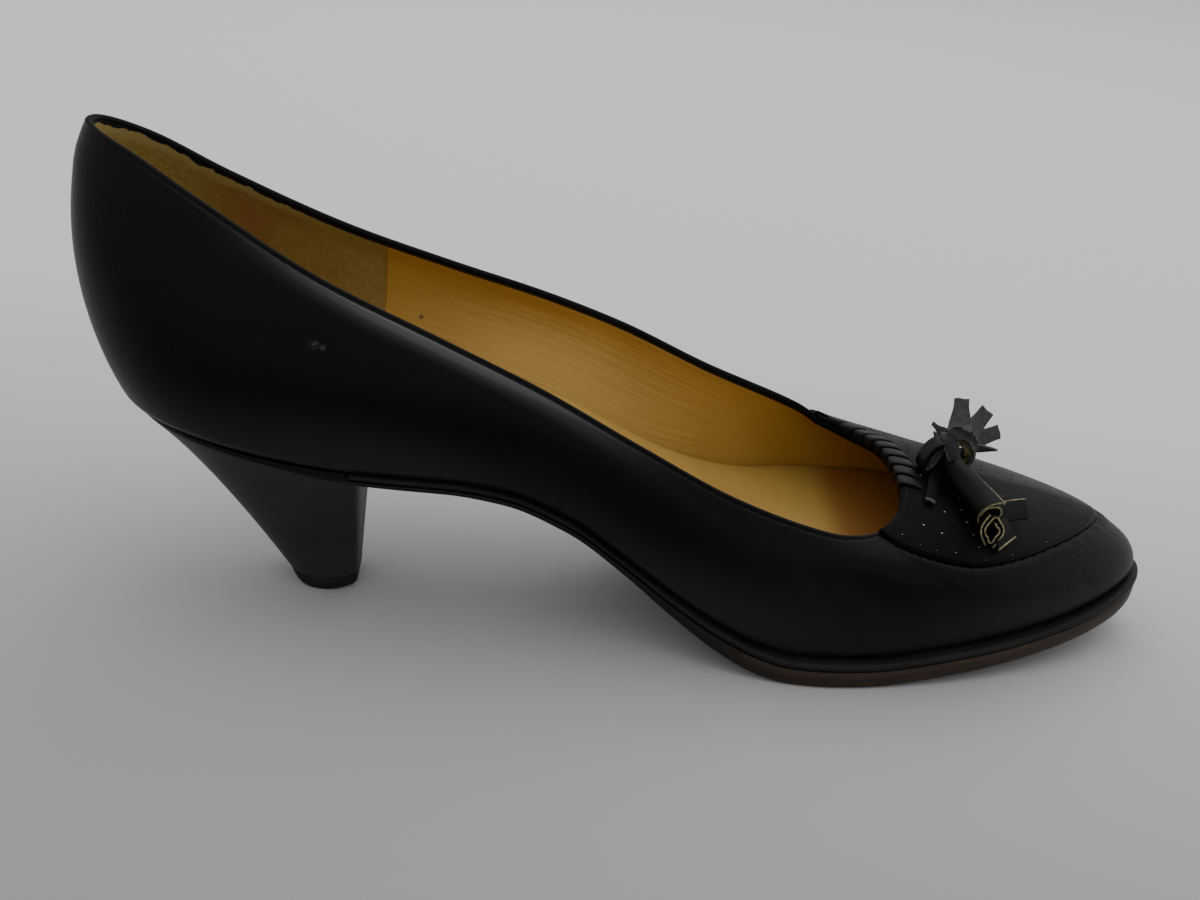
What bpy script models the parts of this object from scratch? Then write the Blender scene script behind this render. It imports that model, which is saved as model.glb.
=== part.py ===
"""Pump shoe for the right foot: leather upper, punched apron, tassel bow, leather sole, cone heel.

The model is in metres, +X to the toe, +Y to the medial side, +Z up, with the floor at Z = 0.
Shapes are worked out in the frame of the last:
X runs from the back of the counter, Y from the heel's centreline.
"""

import math

import bmesh
import bpy
import numpy as np

MM = 0.001
LATERAL, MEDIAL = -1, 1

# Driving dimensions
LENGTH = 240.5 * MM
BALL_WIDTH = 72 * MM
HEEL_HEIGHT = 36.5 * MM
BACK_HEIGHT = 97.5 * MM
WALL = 1.8 * MM
GAP = 0.3 * MM

# Plan of the feather line, where the upper turns under: stations along the last and half widths there
COUNTER_BACK_X = 8.8 * MM
SEAT_X = 38 * MM
WAIST_X = {LATERAL: 104 * MM, MEDIAL: 100 * MM}
BALL_X = {LATERAL: 158 * MM, MEDIAL: 173 * MM}
TIP_X = LENGTH - 2.2 * MM
TIP_Y = 5 * MM
SEAT_HALF = {LATERAL: 24.1 * MM, MEDIAL: 24.1 * MM}
WAIST_HALF = {LATERAL: 23.5 * MM, MEDIAL: 19 * MM}
BALL_HALF = {LATERAL: 0.468 * BALL_WIDTH, MEDIAL: 0.532 * BALL_WIDTH}
HEEL_ROUND = (2.2, 2.0)
TOE_ROUND = {LATERAL: (1.5, 1.8), MEDIAL: (1.8, 1.8)}

# Plan of the topline, the egg-shaped mouth of the shoe
MOUTH_BACK_X = 1.8 * MM
MOUTH_WIDE_X = 152 * MM
THROAT_X = 175.5 * MM
THROAT_Y = 1.5 * MM
MOUTH_HALF = {LATERAL: 29 * MM, MEDIAL: 32 * MM}
MOUTH_BACK_ROUND = (2.0, 2.25)
MOUTH_FRONT_ROUND = (2.4, 2.4)

# Height of the topline over the floor, in shares of the back height, at stations in shares of the length
TOPLINE = [
    # along, lateral, medial
    (0.007, 1.000, 1.000),
    (0.050, 0.968, 0.950),
    (0.106, 0.904, 0.874),
    (0.207, 0.782, 0.768),
    (0.308, 0.689, 0.692),
    (0.394, 0.604, 0.632),
    (0.475, 0.506, 0.564),
    (0.566, 0.402, 0.470),
    (0.637, 0.350, 0.410),
    (0.662, 0.340, 0.388),
    (0.687, 0.338, 0.362),
    (0.712, 0.348, 0.355),
    (0.730, 0.372, 0.372),
]

# Height of the sole's underside over the floor in shares of the heel height,
# at stations in shares of the length; behind the breast it sets the rising seat of the heel
TREAD = [
    # along, height
    (0.033, 1.094),
    (0.079, 1.063),
    (0.125, 1.017),
    (0.175, 0.957),
    (0.229, 0.916),
    (0.285, 0.901),
    (0.320, 0.896),
    (0.369, 0.855),
    (0.424, 0.715),
    (0.475, 0.500),
    (0.525, 0.270),
    (0.566, 0.115),
    (0.600, 0.030),
    (0.630, 0.000),
    (0.690, 0.000),
    (0.768, 0.040),
    (0.880, 0.130),
    (1.000, 0.270),
]

# Thickness of the sole's two layers at stations in shares of the length
LAYERS = [
    # along, outsole, midsole
    (0.24, 1.1 * MM, 0.7 * MM),
    (0.45, 1.5 * MM, 0.9 * MM),
    (0.60, 4.0 * MM, 1.3 * MM),
    (1.00, 4.0 * MM, 1.3 * MM),
]

# How far the sole's edge stands out from the feather line
EDGE = [
    # along, outsole, midsole
    (0.24, 0.2 * MM, 0.2 * MM),
    (0.48, 0.6 * MM, 0.6 * MM),
    (0.62, 2.0 * MM, 2.0 * MM),
    (0.95, 2.0 * MM, 2.0 * MM),
    (1.00, 1.2 * MM, 1.5 * MM),
]

# Ribs of the last: a cubic curve from the feather line to the topline at each section of the shoe.
# The lower handle leaves the feather line, the upper handle meets the topline.
RIBS = [
    # share of the way round, out and up at the feather line, out and down at the topline
    (0.00, 10.3 * MM, 14.7 * MM, 6.2 * MM, 17.4 * MM),
    (0.06, 7.9 * MM, 14.1 * MM, 7.8 * MM, 16.6 * MM),
    (0.12, 7.7 * MM, 13.7 * MM, 9.3 * MM, 16.6 * MM),
    (0.25, 6.0 * MM, 14.0 * MM, 8.0 * MM, 15.0 * MM),
    (0.45, 5.0 * MM, 10.0 * MM, 4.5 * MM, 10.0 * MM),
    (0.62, 4.5 * MM, 11.0 * MM, 6.0 * MM, 8.5 * MM),
    (0.82, 3.5 * MM, 11.0 * MM, 24.0 * MM, 4.4 * MM),
    (1.00, 2.0 * MM, 10.0 * MM, 39.0 * MM, 2.4 * MM),
]
RIB_BREAK_X = 122 * MM
RIB_BREAK_SHARE = 0.38
REAR_RIBS = 18
TOE_RIBS = 28
RIB_STEPS = 11
END_CROWDING = 1.35

# Heel and top lift
BREAST_X = 59 * MM
LIFT_HEIGHT = 3 * MM
LIFT_BACK_X = 43 * MM
LIFT_FRONT_X = 58.5 * MM
LIFT_HALF = 9.5 * MM
LIFT_FRONT_NARROWING = 0.4
LIFT_TAPER = 1.5 * MM
HEEL_SWEEP = 0.8
HEEL_LEVELS = 8
HEEL_POINTS = 13

SOLE_RINGS = 40
SOLE_BEVEL = 0.8 * MM

# Padded insole: thickness at its edge, and how far its top spreads with the wall
INSOLE = [
    # along, thickness, spread
    (0.04, 2.6 * MM, 0.8 * MM),
    (0.12, 3.4 * MM, 1.0 * MM),
    (0.30, 6.5 * MM, 1.8 * MM),
    (0.50, 10.0 * MM, 2.4 * MM),
    (0.62, 9.5 * MM, 2.4 * MM),
    (0.78, 7.0 * MM, 1.0 * MM),
    (1.00, 3.5 * MM, -1.5 * MM),
]
INSOLE_DISH = 1.5 * MM
INSOLE_RINGS = 44

# Apron: where its wings start on each side, and its lower edge on each rib,
# as a share of the rib from the feather line up
APRON_START = {LATERAL: 0.76, MEDIAL: 0.735}
APRON_EDGE = [
    # share of the way round, share up the rib
    (0.73, 0.80),
    (0.76, 0.76),
    (0.79, 0.67),
    (0.84, 0.58),
    (0.90, 0.51),
    (1.00, 0.42),
]
APRON_THICK = 1.0 * MM
APRON_ROWS = 7

# Whip-laced roll on the apron's rear edge, from near its medial wing to beside the bow
LACING_START = {LATERAL: 0.88, MEDIAL: 0.745}
LACING_RIB_SHARE = 0.978
LACING_HALF_WIDTH = 2.2 * MM
LACING_HALF_HEIGHT = 0.95 * MM
LACING_POINTS = 8

# Tassel bow across the apron: sleeve ends, sleeve radii, then a row for each strip of the fringe
STRIP_WIDTH_COLUMNS = 3
TASSEL_LEATHER = 1.0 * MM
TASSEL_STEPS = 5
STRIP_STEPS = 3
TASSELS = {
    "tassel_lateral": {
        "start": (186.4, -3.2, 40.3),
        "mouth": (191.2, -23.4, 36.3),
        "radii": (2.0, 4.3),
        "strips": [
            # splay from the sleeve's line in degrees, length in mm, from the top strip round
            (10, 4.5), (14, 4.0), (12, 4.5), (6, 4.0), (12, 4.5), (14, 4.5), (62, 6.0),
        ],
    },
    "tassel_medial": {
        "start": (190.6, 2.5, 39.9),
        "mouth": (192.6, 9.5, 40.2),
        "radii": (2.9, 4.5),
        "strips": [
            (66, 5.0), (62, 5.0), (62, 4.5), (30, 4.0), (10, 4.0), (10, 4.0), (60, 2.8), (48, 2.5),
        ],
    },
}

# Knot of the bow: a closed three-lobed cord lying on the apron
KNOT_CENTRE = (184.9, 1.0, 38.9)
KNOT_RADIUS = 3.0 * MM
KNOT_RISE = 1.0 * MM
KNOT_CORD = 0.7 * MM
KNOT_POINTS = 48

# Finish of each sub-part
BLACK = (0.012, 0.012, 0.014)
TAN = (0.45, 0.27, 0.09)
BROWN = (0.10, 0.055, 0.035)
FINISHES = {
    # node: colour, roughness
    "upper": (BLACK, 0.35),
    "apron": (BLACK, 0.38),
    "throat_lacing": (BLACK, 0.45),
    "bow_knot": (BLACK, 0.35),
    "tassel_lateral": (BLACK, 0.45),
    "tassel_medial": (BLACK, 0.45),
    "heel": (BLACK, 0.35),
    "insole": (TAN, 0.55),
    "midsole": (BLACK, 0.40),
    "outsole": (BROWN, 0.50),
    "top_lift": (BLACK, 0.60),
}


def smooth(x, stations, values):
    """Monotone cubic through a table's column, level beyond both ends of the table."""
    x = np.clip(np.asarray(x, float), stations[0], stations[-1])
    stations, values = np.asarray(stations, float), np.asarray(values, float)
    step = np.diff(stations)
    rise = np.diff(values) / step
    slope = np.zeros(len(values))
    same = rise[:-1] * rise[1:] > 0
    inner = np.zeros(len(values) - 2)
    inner[same] = 2 * rise[:-1][same] * rise[1:][same] / (rise[:-1] + rise[1:])[same]
    slope[1:-1] = inner
    slope[0], slope[-1] = rise[0], rise[-1]
    i = np.clip(np.searchsorted(stations, x, side="right") - 1, 0, len(step) - 1)
    t = (x - stations[i]) / step[i]
    start = (1 + 2 * t) * (1 - t) ** 2 * values[i] + t * (1 - t) ** 2 * step[i] * slope[i]
    end = t * t * (3 - 2 * t) * values[i + 1] + t * t * (t - 1) * step[i] * slope[i + 1]
    return start + end


def column(table, x, index):
    """A column of a table whose first column is a share of the shoe's length."""
    rows = np.array(table, float)
    return smooth(np.asarray(x) / LENGTH, rows[:, 0], rows[:, index])


def quarter(share, rounding):
    """Height of a quarter of a rounded arch, 1 at share 0 and 0 at share 1."""
    power, root = rounding
    return np.clip(1 - np.clip(share, 0, 1) ** power, 0, 1) ** (1 / root)


def ease(share):
    share = np.clip(share, 0, 1)
    return share * share * (3 - 2 * share)


def feather_y(x, side):
    """Plan of the feather line on one side of the last."""
    x = np.asarray(x, float)
    seat, waist, ball = SEAT_HALF[side], WAIST_HALF[side], BALL_HALF[side]
    tip = side * TIP_Y
    heel = seat * quarter((SEAT_X - x) / (SEAT_X - COUNTER_BACK_X), HEEL_ROUND)
    toe = tip + (ball - tip) * quarter((x - BALL_X[side]) / (TIP_X - BALL_X[side]), TOE_ROUND[side])
    hollow = seat + (waist - seat) * ease((x - SEAT_X) / (WAIST_X[side] - SEAT_X))
    flare = waist + (ball - waist) * ease((x - WAIST_X[side]) / (BALL_X[side] - WAIST_X[side]))
    half = np.where(x < SEAT_X, heel, hollow)
    half = np.where(x > WAIST_X[side], flare, half)
    return side * np.where(x > BALL_X[side], toe, half)


def mouth_y(x, side):
    """Plan of the topline on one side of the shoe."""
    x = np.asarray(x, float)
    half, tip = MOUTH_HALF[side], side * THROAT_Y
    rear = half * quarter((MOUTH_WIDE_X - x) / (MOUTH_WIDE_X - MOUTH_BACK_X), MOUTH_BACK_ROUND)
    front = quarter((x - MOUTH_WIDE_X) / (THROAT_X - MOUTH_WIDE_X), MOUTH_FRONT_ROUND)
    return side * np.where(x < MOUTH_WIDE_X, rear, tip + (half - tip) * front)


def tread_z(x):
    return HEEL_HEIGHT * column(TREAD, x, 1)


def midsole_z(x):
    """Underside of the midsole."""
    return tread_z(x) + column(LAYERS, x, 1) + GAP


def feather_z(x):
    """Lower edge of the upper, on the midsole or on the heel's seat."""
    return midsole_z(x) + column(LAYERS, x, 2) + GAP


def topline_z(x, side):
    return BACK_HEIGHT * column(TOPLINE, x, 1 if side == LATERAL else 2)


def walk(plan, side, start, end, steps, grow=None):
    """Points and outward normals along one side of a plan curve, grown outwards by grow(x).

    Steps is a count of even steps or the shares of the way to stop at.
    """
    share = (1 - np.cos(np.linspace(0, math.pi, 4001))) / 2
    x = start + (end - start) * share
    line = np.stack([x, plan(x, side)], 1)
    for _ in range(2 if grow else 1):
        tangent = np.gradient(line, axis=0)
        tangent /= np.linalg.norm(tangent, axis=1)[:, None] + 1e-12
        normal = side * np.stack([-tangent[:, 1], tangent[:, 0]], 1)
        if grow:
            line = line + normal * grow(line[:, 0])[:, None]
            grow = None
    length = np.r_[0, np.cumsum(np.linalg.norm(np.diff(line, axis=0), axis=1))]
    stops = length[-1] * (np.linspace(0, 1, steps) if np.isscalar(steps) else steps)
    points = np.stack([np.interp(stops, length, line[:, k]) for k in (0, 1)], 1)
    normals = np.stack([np.interp(stops, length, normal[:, k]) for k in (0, 1)], 1)
    return points, normals / np.linalg.norm(normals, axis=1)[:, None]


def two_stage_walk(plan, side, back, tip):
    """Steps from the back to the rib break and on to the toe or throat, closer together at both ends."""
    rear_stops = np.linspace(0, 1, REAR_RIBS + 1) ** END_CROWDING
    toe_stops = 1 - np.linspace(1, 0, TOE_RIBS + 1) ** END_CROWDING
    rear, rear_normal = walk(plan, side, back, RIB_BREAK_X, rear_stops)
    toe, toe_normal = walk(plan, side, RIB_BREAK_X, tip, toe_stops)
    return np.vstack([rear, toe[1:]]), np.vstack([rear_normal, toe_normal[1:]])


def rib_ways():
    """Each rib's share of the way from the back to the toe."""
    rear = RIB_BREAK_SHARE * np.linspace(0, 1, REAR_RIBS + 1) ** END_CROWDING
    toe = 1 - (1 - RIB_BREAK_SHARE) * np.linspace(1, 0, TOE_RIBS + 1) ** END_CROWDING
    return np.r_[rear, toe[1:]]


def side_ribs(side):
    """Four control points for each rib on one side: feather line, two handles, topline."""
    foot, foot_normal = two_stage_walk(feather_y, side, COUNTER_BACK_X, TIP_X)
    top, top_normal = two_stage_walk(mouth_y, side, MOUTH_BACK_X, THROAT_X)
    foot = np.column_stack([foot, feather_z(foot[:, 0])])
    top = np.column_stack([top, topline_z(top[:, 0], side)])
    ribs = np.array(RIBS, float)
    way = rib_ways()
    out_low, up_low, out_high, down_high = (smooth(way, ribs[:, 0], ribs[:, k]) for k in range(1, 5))
    low = foot + np.column_stack([foot_normal * out_low[:, None], up_low])
    high = top + np.column_stack([top_normal * out_high[:, None], -down_high])
    return np.stack([foot, low, high, top], 1)


def all_ribs():
    """Ribs all the way round: back, lateral side, toe, medial side."""
    return np.concatenate([side_ribs(LATERAL), side_ribs(MEDIAL)[-2:0:-1]])


def on_rib(ribs, share):
    """Points on the ribs at a share of the way up, 0 at the feather line and 1 at the topline."""
    share = np.asarray(share, float)[..., None]
    weights = [(1 - share) ** 3, 3 * share * (1 - share) ** 2, 3 * share**2 * (1 - share), share**3]
    return sum(weight * ribs[:, k] for k, weight in enumerate(weights))


def material(node, metallic=0.0):
    """Material of one sub-part."""
    colour, roughness = FINISHES[node]
    made = bpy.data.materials.new(node)
    made.use_nodes = True
    shader = made.node_tree.nodes["Principled BSDF"]
    shader.inputs["Base Color"].default_value = (*colour, 1.0)
    shader.inputs["Roughness"].default_value = roughness
    shader.inputs["Metallic"].default_value = metallic
    return made


def add_object(name, mesh):
    """A node of the shoe, parented to the empty that carries the last's frame."""
    made = bpy.data.objects.new(name, mesh)
    mesh.materials.append(material(name))
    mesh.shade_smooth()
    mesh.set_sharp_from_angle(angle=math.radians(40))
    SHOE.objects.link(made)
    made.parent = LAST_FRAME
    return made


def grid_mesh(name, points, around=False, caps=None, kept=None):
    """A grid bent to an array of points [row, place in row], less the cells that aren't kept.

    Rows close on themselves where around is true. Caps fills the open ends: "flat" with one face each,
    "across" with strips from side to side, which follow a curved end.
    """
    rows, places = points.shape[:2]
    columns = places + 1 if around else places
    bm = bmesh.new()
    bmesh.ops.create_grid(bm, x_segments=columns - 1, y_segments=rows - 1, size=1)
    if kept is not None:
        slits = []
        for face in bm.faces:
            middle = face.calc_center_median()
            row = int((middle.y + 1) / 2 * (rows - 1))
            place = int((middle.x + 1) / 2 * (columns - 1))
            if not kept[row, place]:
                slits.append(face)
        bmesh.ops.delete(bm, geom=slits, context="FACES")
    ends = {0: {}, rows - 1: {}}
    for vertex in bm.verts:
        place = round((vertex.co.x + 1) / 2 * (columns - 1)) % places
        row = round((vertex.co.y + 1) / 2 * (rows - 1))
        vertex.co = points[row, place]
        if row in ends:
            ends[row].setdefault(place, vertex)
    if caps == "across":
        for end in ends.values():
            for k in range(places // 2):
                corners = [end[k], end[k + 1], end[places - 2 - k], end[places - 1 - k]]
                bm.faces.new(dict.fromkeys(corners))
    bmesh.ops.remove_doubles(bm, verts=bm.verts, dist=0.01 * MM)
    bmesh.ops.dissolve_degenerate(bm, edges=bm.edges, dist=0.01 * MM)
    if caps:
        if caps == "flat":
            bmesh.ops.holes_fill(bm, edges=[edge for edge in bm.edges if edge.is_boundary], sides=0)
        bmesh.ops.recalc_face_normals(bm, faces=bm.faces)
        if bm.calc_volume(signed=True) < 0:
            bmesh.ops.reverse_faces(bm, faces=bm.faces)
    mesh = bpy.data.meshes.new(name)
    bm.to_mesh(mesh)
    bm.free()
    return mesh


def make_upper():
    """Quarters and vamp as one wall, open at the mouth and underneath."""
    ribs = all_ribs()
    shares = np.linspace(0, 1, RIB_STEPS + 1)
    points = np.stack([on_rib(ribs, np.full(len(ribs), share)) for share in shares])
    upper = add_object("upper", grid_mesh("upper", points, around=True))
    wall = upper.modifiers.new("wall", "SOLIDIFY")
    wall.thickness = WALL
    wall.offset = -1
    wall.use_even_offset = True
    return upper


def plate_rings(upper_edges, lower_edges, top_z, bottom_z, across=5):
    """Closed sections of a plate, each from its lateral edge to its medial edge and back underneath."""
    share = np.linspace(0, 1, across)[:, None]
    faces = []
    for edges, height in ((upper_edges, top_z), (lower_edges, bottom_z)):
        lateral, medial = (edge.copy() for edge in edges)
        for end in (0, -1):
            if np.linalg.norm(lateral[end] - medial[end]) < 2 * MM:
                lateral[end] = medial[end] = (lateral[end] + medial[end]) / 2
        lines = lateral[:, None] + (medial - lateral)[:, None] * share
        faces.append(np.dstack([lines, height(lines[..., 0], share.ravel())]))
    return np.concatenate([faces[0], faces[1][:, ::-1]], 1)


def sole_edges(layer, count, inset=0.0):
    """The two edges of a sole layer from the heel breast to the toe."""
    grow = lambda x: column(EDGE, x, layer) - inset
    start = BREAST_X + GAP
    return [walk(feather_y, side, start, TIP_X, count, grow)[0] for side in (LATERAL, MEDIAL)]


def make_outsole():
    top = lambda x, across: tread_z(x) + column(LAYERS, x, 1)
    under = lambda x, across: tread_z(x)
    rings = plate_rings(sole_edges(1, SOLE_RINGS), sole_edges(1, SOLE_RINGS, SOLE_BEVEL), top, under)
    return add_object("outsole", grid_mesh("outsole", rings, around=True, caps="flat"))


def make_midsole():
    edges = sole_edges(2, SOLE_RINGS)
    top = lambda x, across: midsole_z(x) + column(LAYERS, x, 2)
    rings = plate_rings(edges, edges, top, lambda x, across: midsole_z(x))
    return add_object("midsole", grid_mesh("midsole", rings, around=True, caps="flat"))


def make_insole():
    """Padded sock on its board: it fills the foot of the upper and is dished along the middle."""
    low = lambda x: np.full(len(x), -(WALL + 2 * GAP))
    high = lambda x: column(INSOLE, x, 2) - (WALL + 2 * GAP)
    under, over = (
        [walk(feather_y, side, COUNTER_BACK_X, TIP_X, INSOLE_RINGS, grow)[0] for side in (LATERAL, MEDIAL)]
        for grow in (low, high)
    )
    dished = lambda x, across: feather_z(x) + column(INSOLE, x, 1) - INSOLE_DISH * np.sin(math.pi * across)
    rings = plate_rings(over, under, dished, lambda x, across: feather_z(x), across=7)
    return add_object("insole", grid_mesh("insole", rings, around=True, caps="flat"))


def d_outline(plan, back_x, front_x):
    """Points round a heel section: lateral front corner, round the back, medial front corner."""
    lateral, medial = (walk(plan, side, back_x, front_x, HEEL_POINTS)[0] for side in (LATERAL, MEDIAL))
    return np.vstack([lateral[::-1], medial[1:]])


def lift_y(x, side):
    """Plan of the top lift: round at the back and drawn in again towards the breast."""
    x = np.asarray(x, float)
    middle = LIFT_BACK_X + 0.55 * (LIFT_FRONT_X - LIFT_BACK_X)
    rear = quarter((middle - x) / (middle - LIFT_BACK_X), (2.3, 2.3))
    front = 1 - LIFT_FRONT_NARROWING * np.clip((x - middle) / (LIFT_FRONT_X - middle), 0, 1) ** 2
    return side * LIFT_HALF * rear * front


def make_heel():
    """Cone heel lofted from the seat's outline down to the top lift."""
    seat = d_outline(feather_y, COUNTER_BACK_X, BREAST_X)
    foot = d_outline(lift_y, LIFT_BACK_X, LIFT_FRONT_X)
    seat = np.column_stack([seat, feather_z(seat[:, 0]) - GAP])
    foot = np.column_stack([foot, np.full(len(foot), LIFT_HEIGHT + GAP)])
    rings = []
    for share in np.linspace(0, 1, HEEL_LEVELS + 1):
        ring = seat + (foot - seat) * share
        ring[:, :2] = seat[:, :2] + (foot - seat)[:, :2] * share**HEEL_SWEEP
        rings.append(ring)
    return add_object("heel", grid_mesh("heel", np.array(rings), around=True, caps="across"))


def make_top_lift():
    """Thin lift that goes on with the heel's slope at its back."""
    plan = d_outline(lift_y, LIFT_BACK_X, LIFT_FRONT_X)
    rings = []
    for z in (LIFT_HEIGHT, 0):
        ring = np.column_stack([plan, np.full(len(plan), z)])
        rear = (LIFT_FRONT_X - plan[:, 0]) / (LIFT_FRONT_X - LIFT_BACK_X)
        ring[:, 0] += LIFT_TAPER * (1 - z / LIFT_HEIGHT) * rear**2
        rings.append(ring)
    return add_object("top_lift", grid_mesh("top_lift", np.array(rings), around=True, caps="flat"))


def toe_ribs(starts):
    """Ribs under the apron with their ways, from the lateral start round the toe to the medial start."""
    ribs, ways = [], []
    for side in (LATERAL, MEDIAL):
        made = side_ribs(side)
        way = rib_ways()
        first = int(np.argmin(np.abs(way - starts[side])))
        ribs.append(made[first:])
        ways.append(way[first:])
    return np.concatenate([ribs[0], ribs[1][-2::-1]]), np.r_[ways[0], ways[1][-2::-1]]


def surface_normals(points):
    """Outward unit normals of a grid of points [row up, place round]."""
    normals = np.cross(np.gradient(points, axis=1), np.gradient(points, axis=0))
    return normals / np.linalg.norm(normals, axis=2)[..., None]


def make_apron():
    """Plug over the vamp, worked out on the upper's own ribs and stood off from it."""
    table = np.array(APRON_EDGE)
    ribs, way = toe_ribs(APRON_START)
    low = smooth(way, table[:, 0], table[:, 1])
    points = np.stack([on_rib(ribs, low + (1 - low) * share) for share in np.linspace(0, 1, APRON_ROWS)])
    points = points + surface_normals(points) * GAP
    apron = add_object("apron", grid_mesh("apron", points))
    leather = apron.modifiers.new("leather", "SOLIDIFY")
    leather.thickness = APRON_THICK
    leather.offset = 1
    leather.use_even_offset = True
    return apron


def make_throat_lacing():
    """Roll of lacing that lies along the rear edge of the apron."""
    ribs, _ = toe_ribs(LACING_START)
    shares = LACING_RIB_SHARE + np.array([-0.02, 0.0, 0.02])
    band = np.stack([on_rib(ribs, np.full(len(ribs), share)) for share in shares])
    normals = surface_normals(band)[1]
    across = band[2] - band[0]
    across /= np.linalg.norm(across, axis=1)[:, None]
    lift = 2 * GAP + APRON_THICK + LACING_HALF_HEIGHT
    turns = np.linspace(0, 2 * math.pi, LACING_POINTS, endpoint=False)
    rings = np.stack([
        band[1]
        + normals * (lift + LACING_HALF_HEIGHT * math.sin(turn))
        + across * LACING_HALF_WIDTH * math.cos(turn)
        for turn in turns
    ], 1)
    return add_object("throat_lacing", grid_mesh("throat_lacing", rings, around=True, caps="flat"))


def make_tassel(name):
    """A sheet rolled into a sleeve and slit into strips beyond its mouth."""
    shape = TASSELS[name]
    start, mouth = (np.array(shape[end]) * MM for end in ("start", "mouth"))
    length = np.linalg.norm(mouth - start)
    axis = (mouth - start) / length
    aside = np.cross(axis, (0, 0, 1))
    aside /= np.linalg.norm(aside)
    above = np.cross(aside, axis)
    per_strip = STRIP_WIDTH_COLUMNS + 1
    count = len(shape["strips"]) * per_strip
    turns = 2 * math.pi * (np.arange(count) - STRIP_WIDTH_COLUMNS / 2) / count
    radial = np.outer(np.sin(turns), aside) + np.outer(np.cos(turns), above)
    rows = []
    for share in np.linspace(0, 1, TASSEL_STEPS + 1):
        radius = (shape["radii"][0] + (shape["radii"][1] - shape["radii"][0]) * share) * MM
        rows.append(start + axis * length * share + radial * radius)
    for step in range(1, STRIP_STEPS + 1):
        row = rows[TASSEL_STEPS].copy()
        for strip, (splay, reach) in enumerate(shape["strips"]):
            turn = 2 * math.pi * strip / len(shape["strips"])
            out = aside * math.sin(turn) + above * math.cos(turn)
            bend = math.radians(splay)
            first = strip * per_strip
            lean = axis * math.cos(bend) + out * math.sin(bend)
            row[first:first + per_strip] += lean * reach * MM * step / STRIP_STEPS
        rows.append(row)
    kept = np.ones((len(rows) - 1, count), bool)
    kept[TASSEL_STEPS:, STRIP_WIDTH_COLUMNS::per_strip] = False
    tassel = add_object(name, grid_mesh(name, np.array(rows), around=True, kept=kept))
    leather = tassel.modifiers.new("leather", "SOLIDIFY")
    leather.thickness = TASSEL_LEATHER
    leather.offset = -1
    leather.use_even_offset = True
    return tassel


def make_knot():
    """Knot of the bow, a cord through three lobes."""
    turns = np.linspace(0, 2 * math.pi, KNOT_POINTS, endpoint=False)
    x = (np.sin(turns) + 2 * np.sin(2 * turns)) / 3
    y = (np.cos(turns) - 2 * np.cos(2 * turns)) / 3
    cord = bpy.data.curves.new("bow_knot", "CURVE")
    cord.dimensions = "3D"
    cord.bevel_depth = KNOT_CORD
    cord.bevel_resolution = 2
    line = cord.splines.new("POLY")
    line.points.add(KNOT_POINTS - 1)
    line.use_cyclic_u = True
    for point, across, along, lift in zip(line.points, x, y, -np.sin(3 * turns)):
        point.co = (along * KNOT_RADIUS, across * KNOT_RADIUS, lift * KNOT_RISE, 1)
    knot = bpy.data.objects.new("bow_knot", cord)
    cord.materials.append(material("bow_knot"))
    SHOE.objects.link(knot)
    knot.parent = LAST_FRAME
    knot.location = [value * MM for value in KNOT_CENTRE]
    return knot


def stand_over_origin():
    """Move the last's frame so that the origin is under the middle of the shoe, on the floor."""
    ready = bpy.context.evaluated_depsgraph_get()
    corners = []
    for made in SHOE.objects:
        if made is not LAST_FRAME:
            evaluated = made.evaluated_get(ready)
            mesh = evaluated.to_mesh()
            corners += [evaluated.matrix_world @ vertex.co for vertex in mesh.vertices]
            evaluated.to_mesh_clear()
    corners = np.array(corners)
    middle = (corners.min(0) + corners.max(0)) / 2
    LAST_FRAME.location = (-middle[0], -middle[1], -corners[:, 2].min())


for old in list(bpy.data.objects):
    bpy.data.objects.remove(old)

SHOE = bpy.data.collections.new("pump_shoe")
bpy.context.scene.collection.children.link(SHOE)
LAST_FRAME = bpy.data.objects.new("last_frame", None)
SHOE.objects.link(LAST_FRAME)

make_upper()
make_outsole()
make_midsole()
make_insole()
make_heel()
make_top_lift()
make_apron()
make_throat_lacing()
make_knot()
for tassel_name in TASSELS:
    make_tassel(tassel_name)
stand_over_origin()
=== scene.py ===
import bpy
import math
import numpy as np
from mathutils import Matrix, Vector
from mathutils.bvhtree import BVHTree


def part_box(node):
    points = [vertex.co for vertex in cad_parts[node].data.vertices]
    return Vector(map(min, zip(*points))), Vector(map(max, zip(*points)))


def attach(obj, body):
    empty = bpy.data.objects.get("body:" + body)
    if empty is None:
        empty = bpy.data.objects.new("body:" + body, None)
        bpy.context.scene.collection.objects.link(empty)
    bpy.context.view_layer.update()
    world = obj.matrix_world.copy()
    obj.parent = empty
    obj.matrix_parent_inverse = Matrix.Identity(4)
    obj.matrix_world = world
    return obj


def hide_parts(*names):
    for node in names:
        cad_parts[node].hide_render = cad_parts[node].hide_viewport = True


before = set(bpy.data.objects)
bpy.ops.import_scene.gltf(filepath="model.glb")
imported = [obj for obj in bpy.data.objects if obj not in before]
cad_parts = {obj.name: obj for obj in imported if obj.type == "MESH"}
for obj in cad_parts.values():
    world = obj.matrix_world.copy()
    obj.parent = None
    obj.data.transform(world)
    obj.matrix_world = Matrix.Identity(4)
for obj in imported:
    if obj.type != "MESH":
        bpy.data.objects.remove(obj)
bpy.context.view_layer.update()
mm = 0.001
lateral, medial = -1, 1

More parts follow.
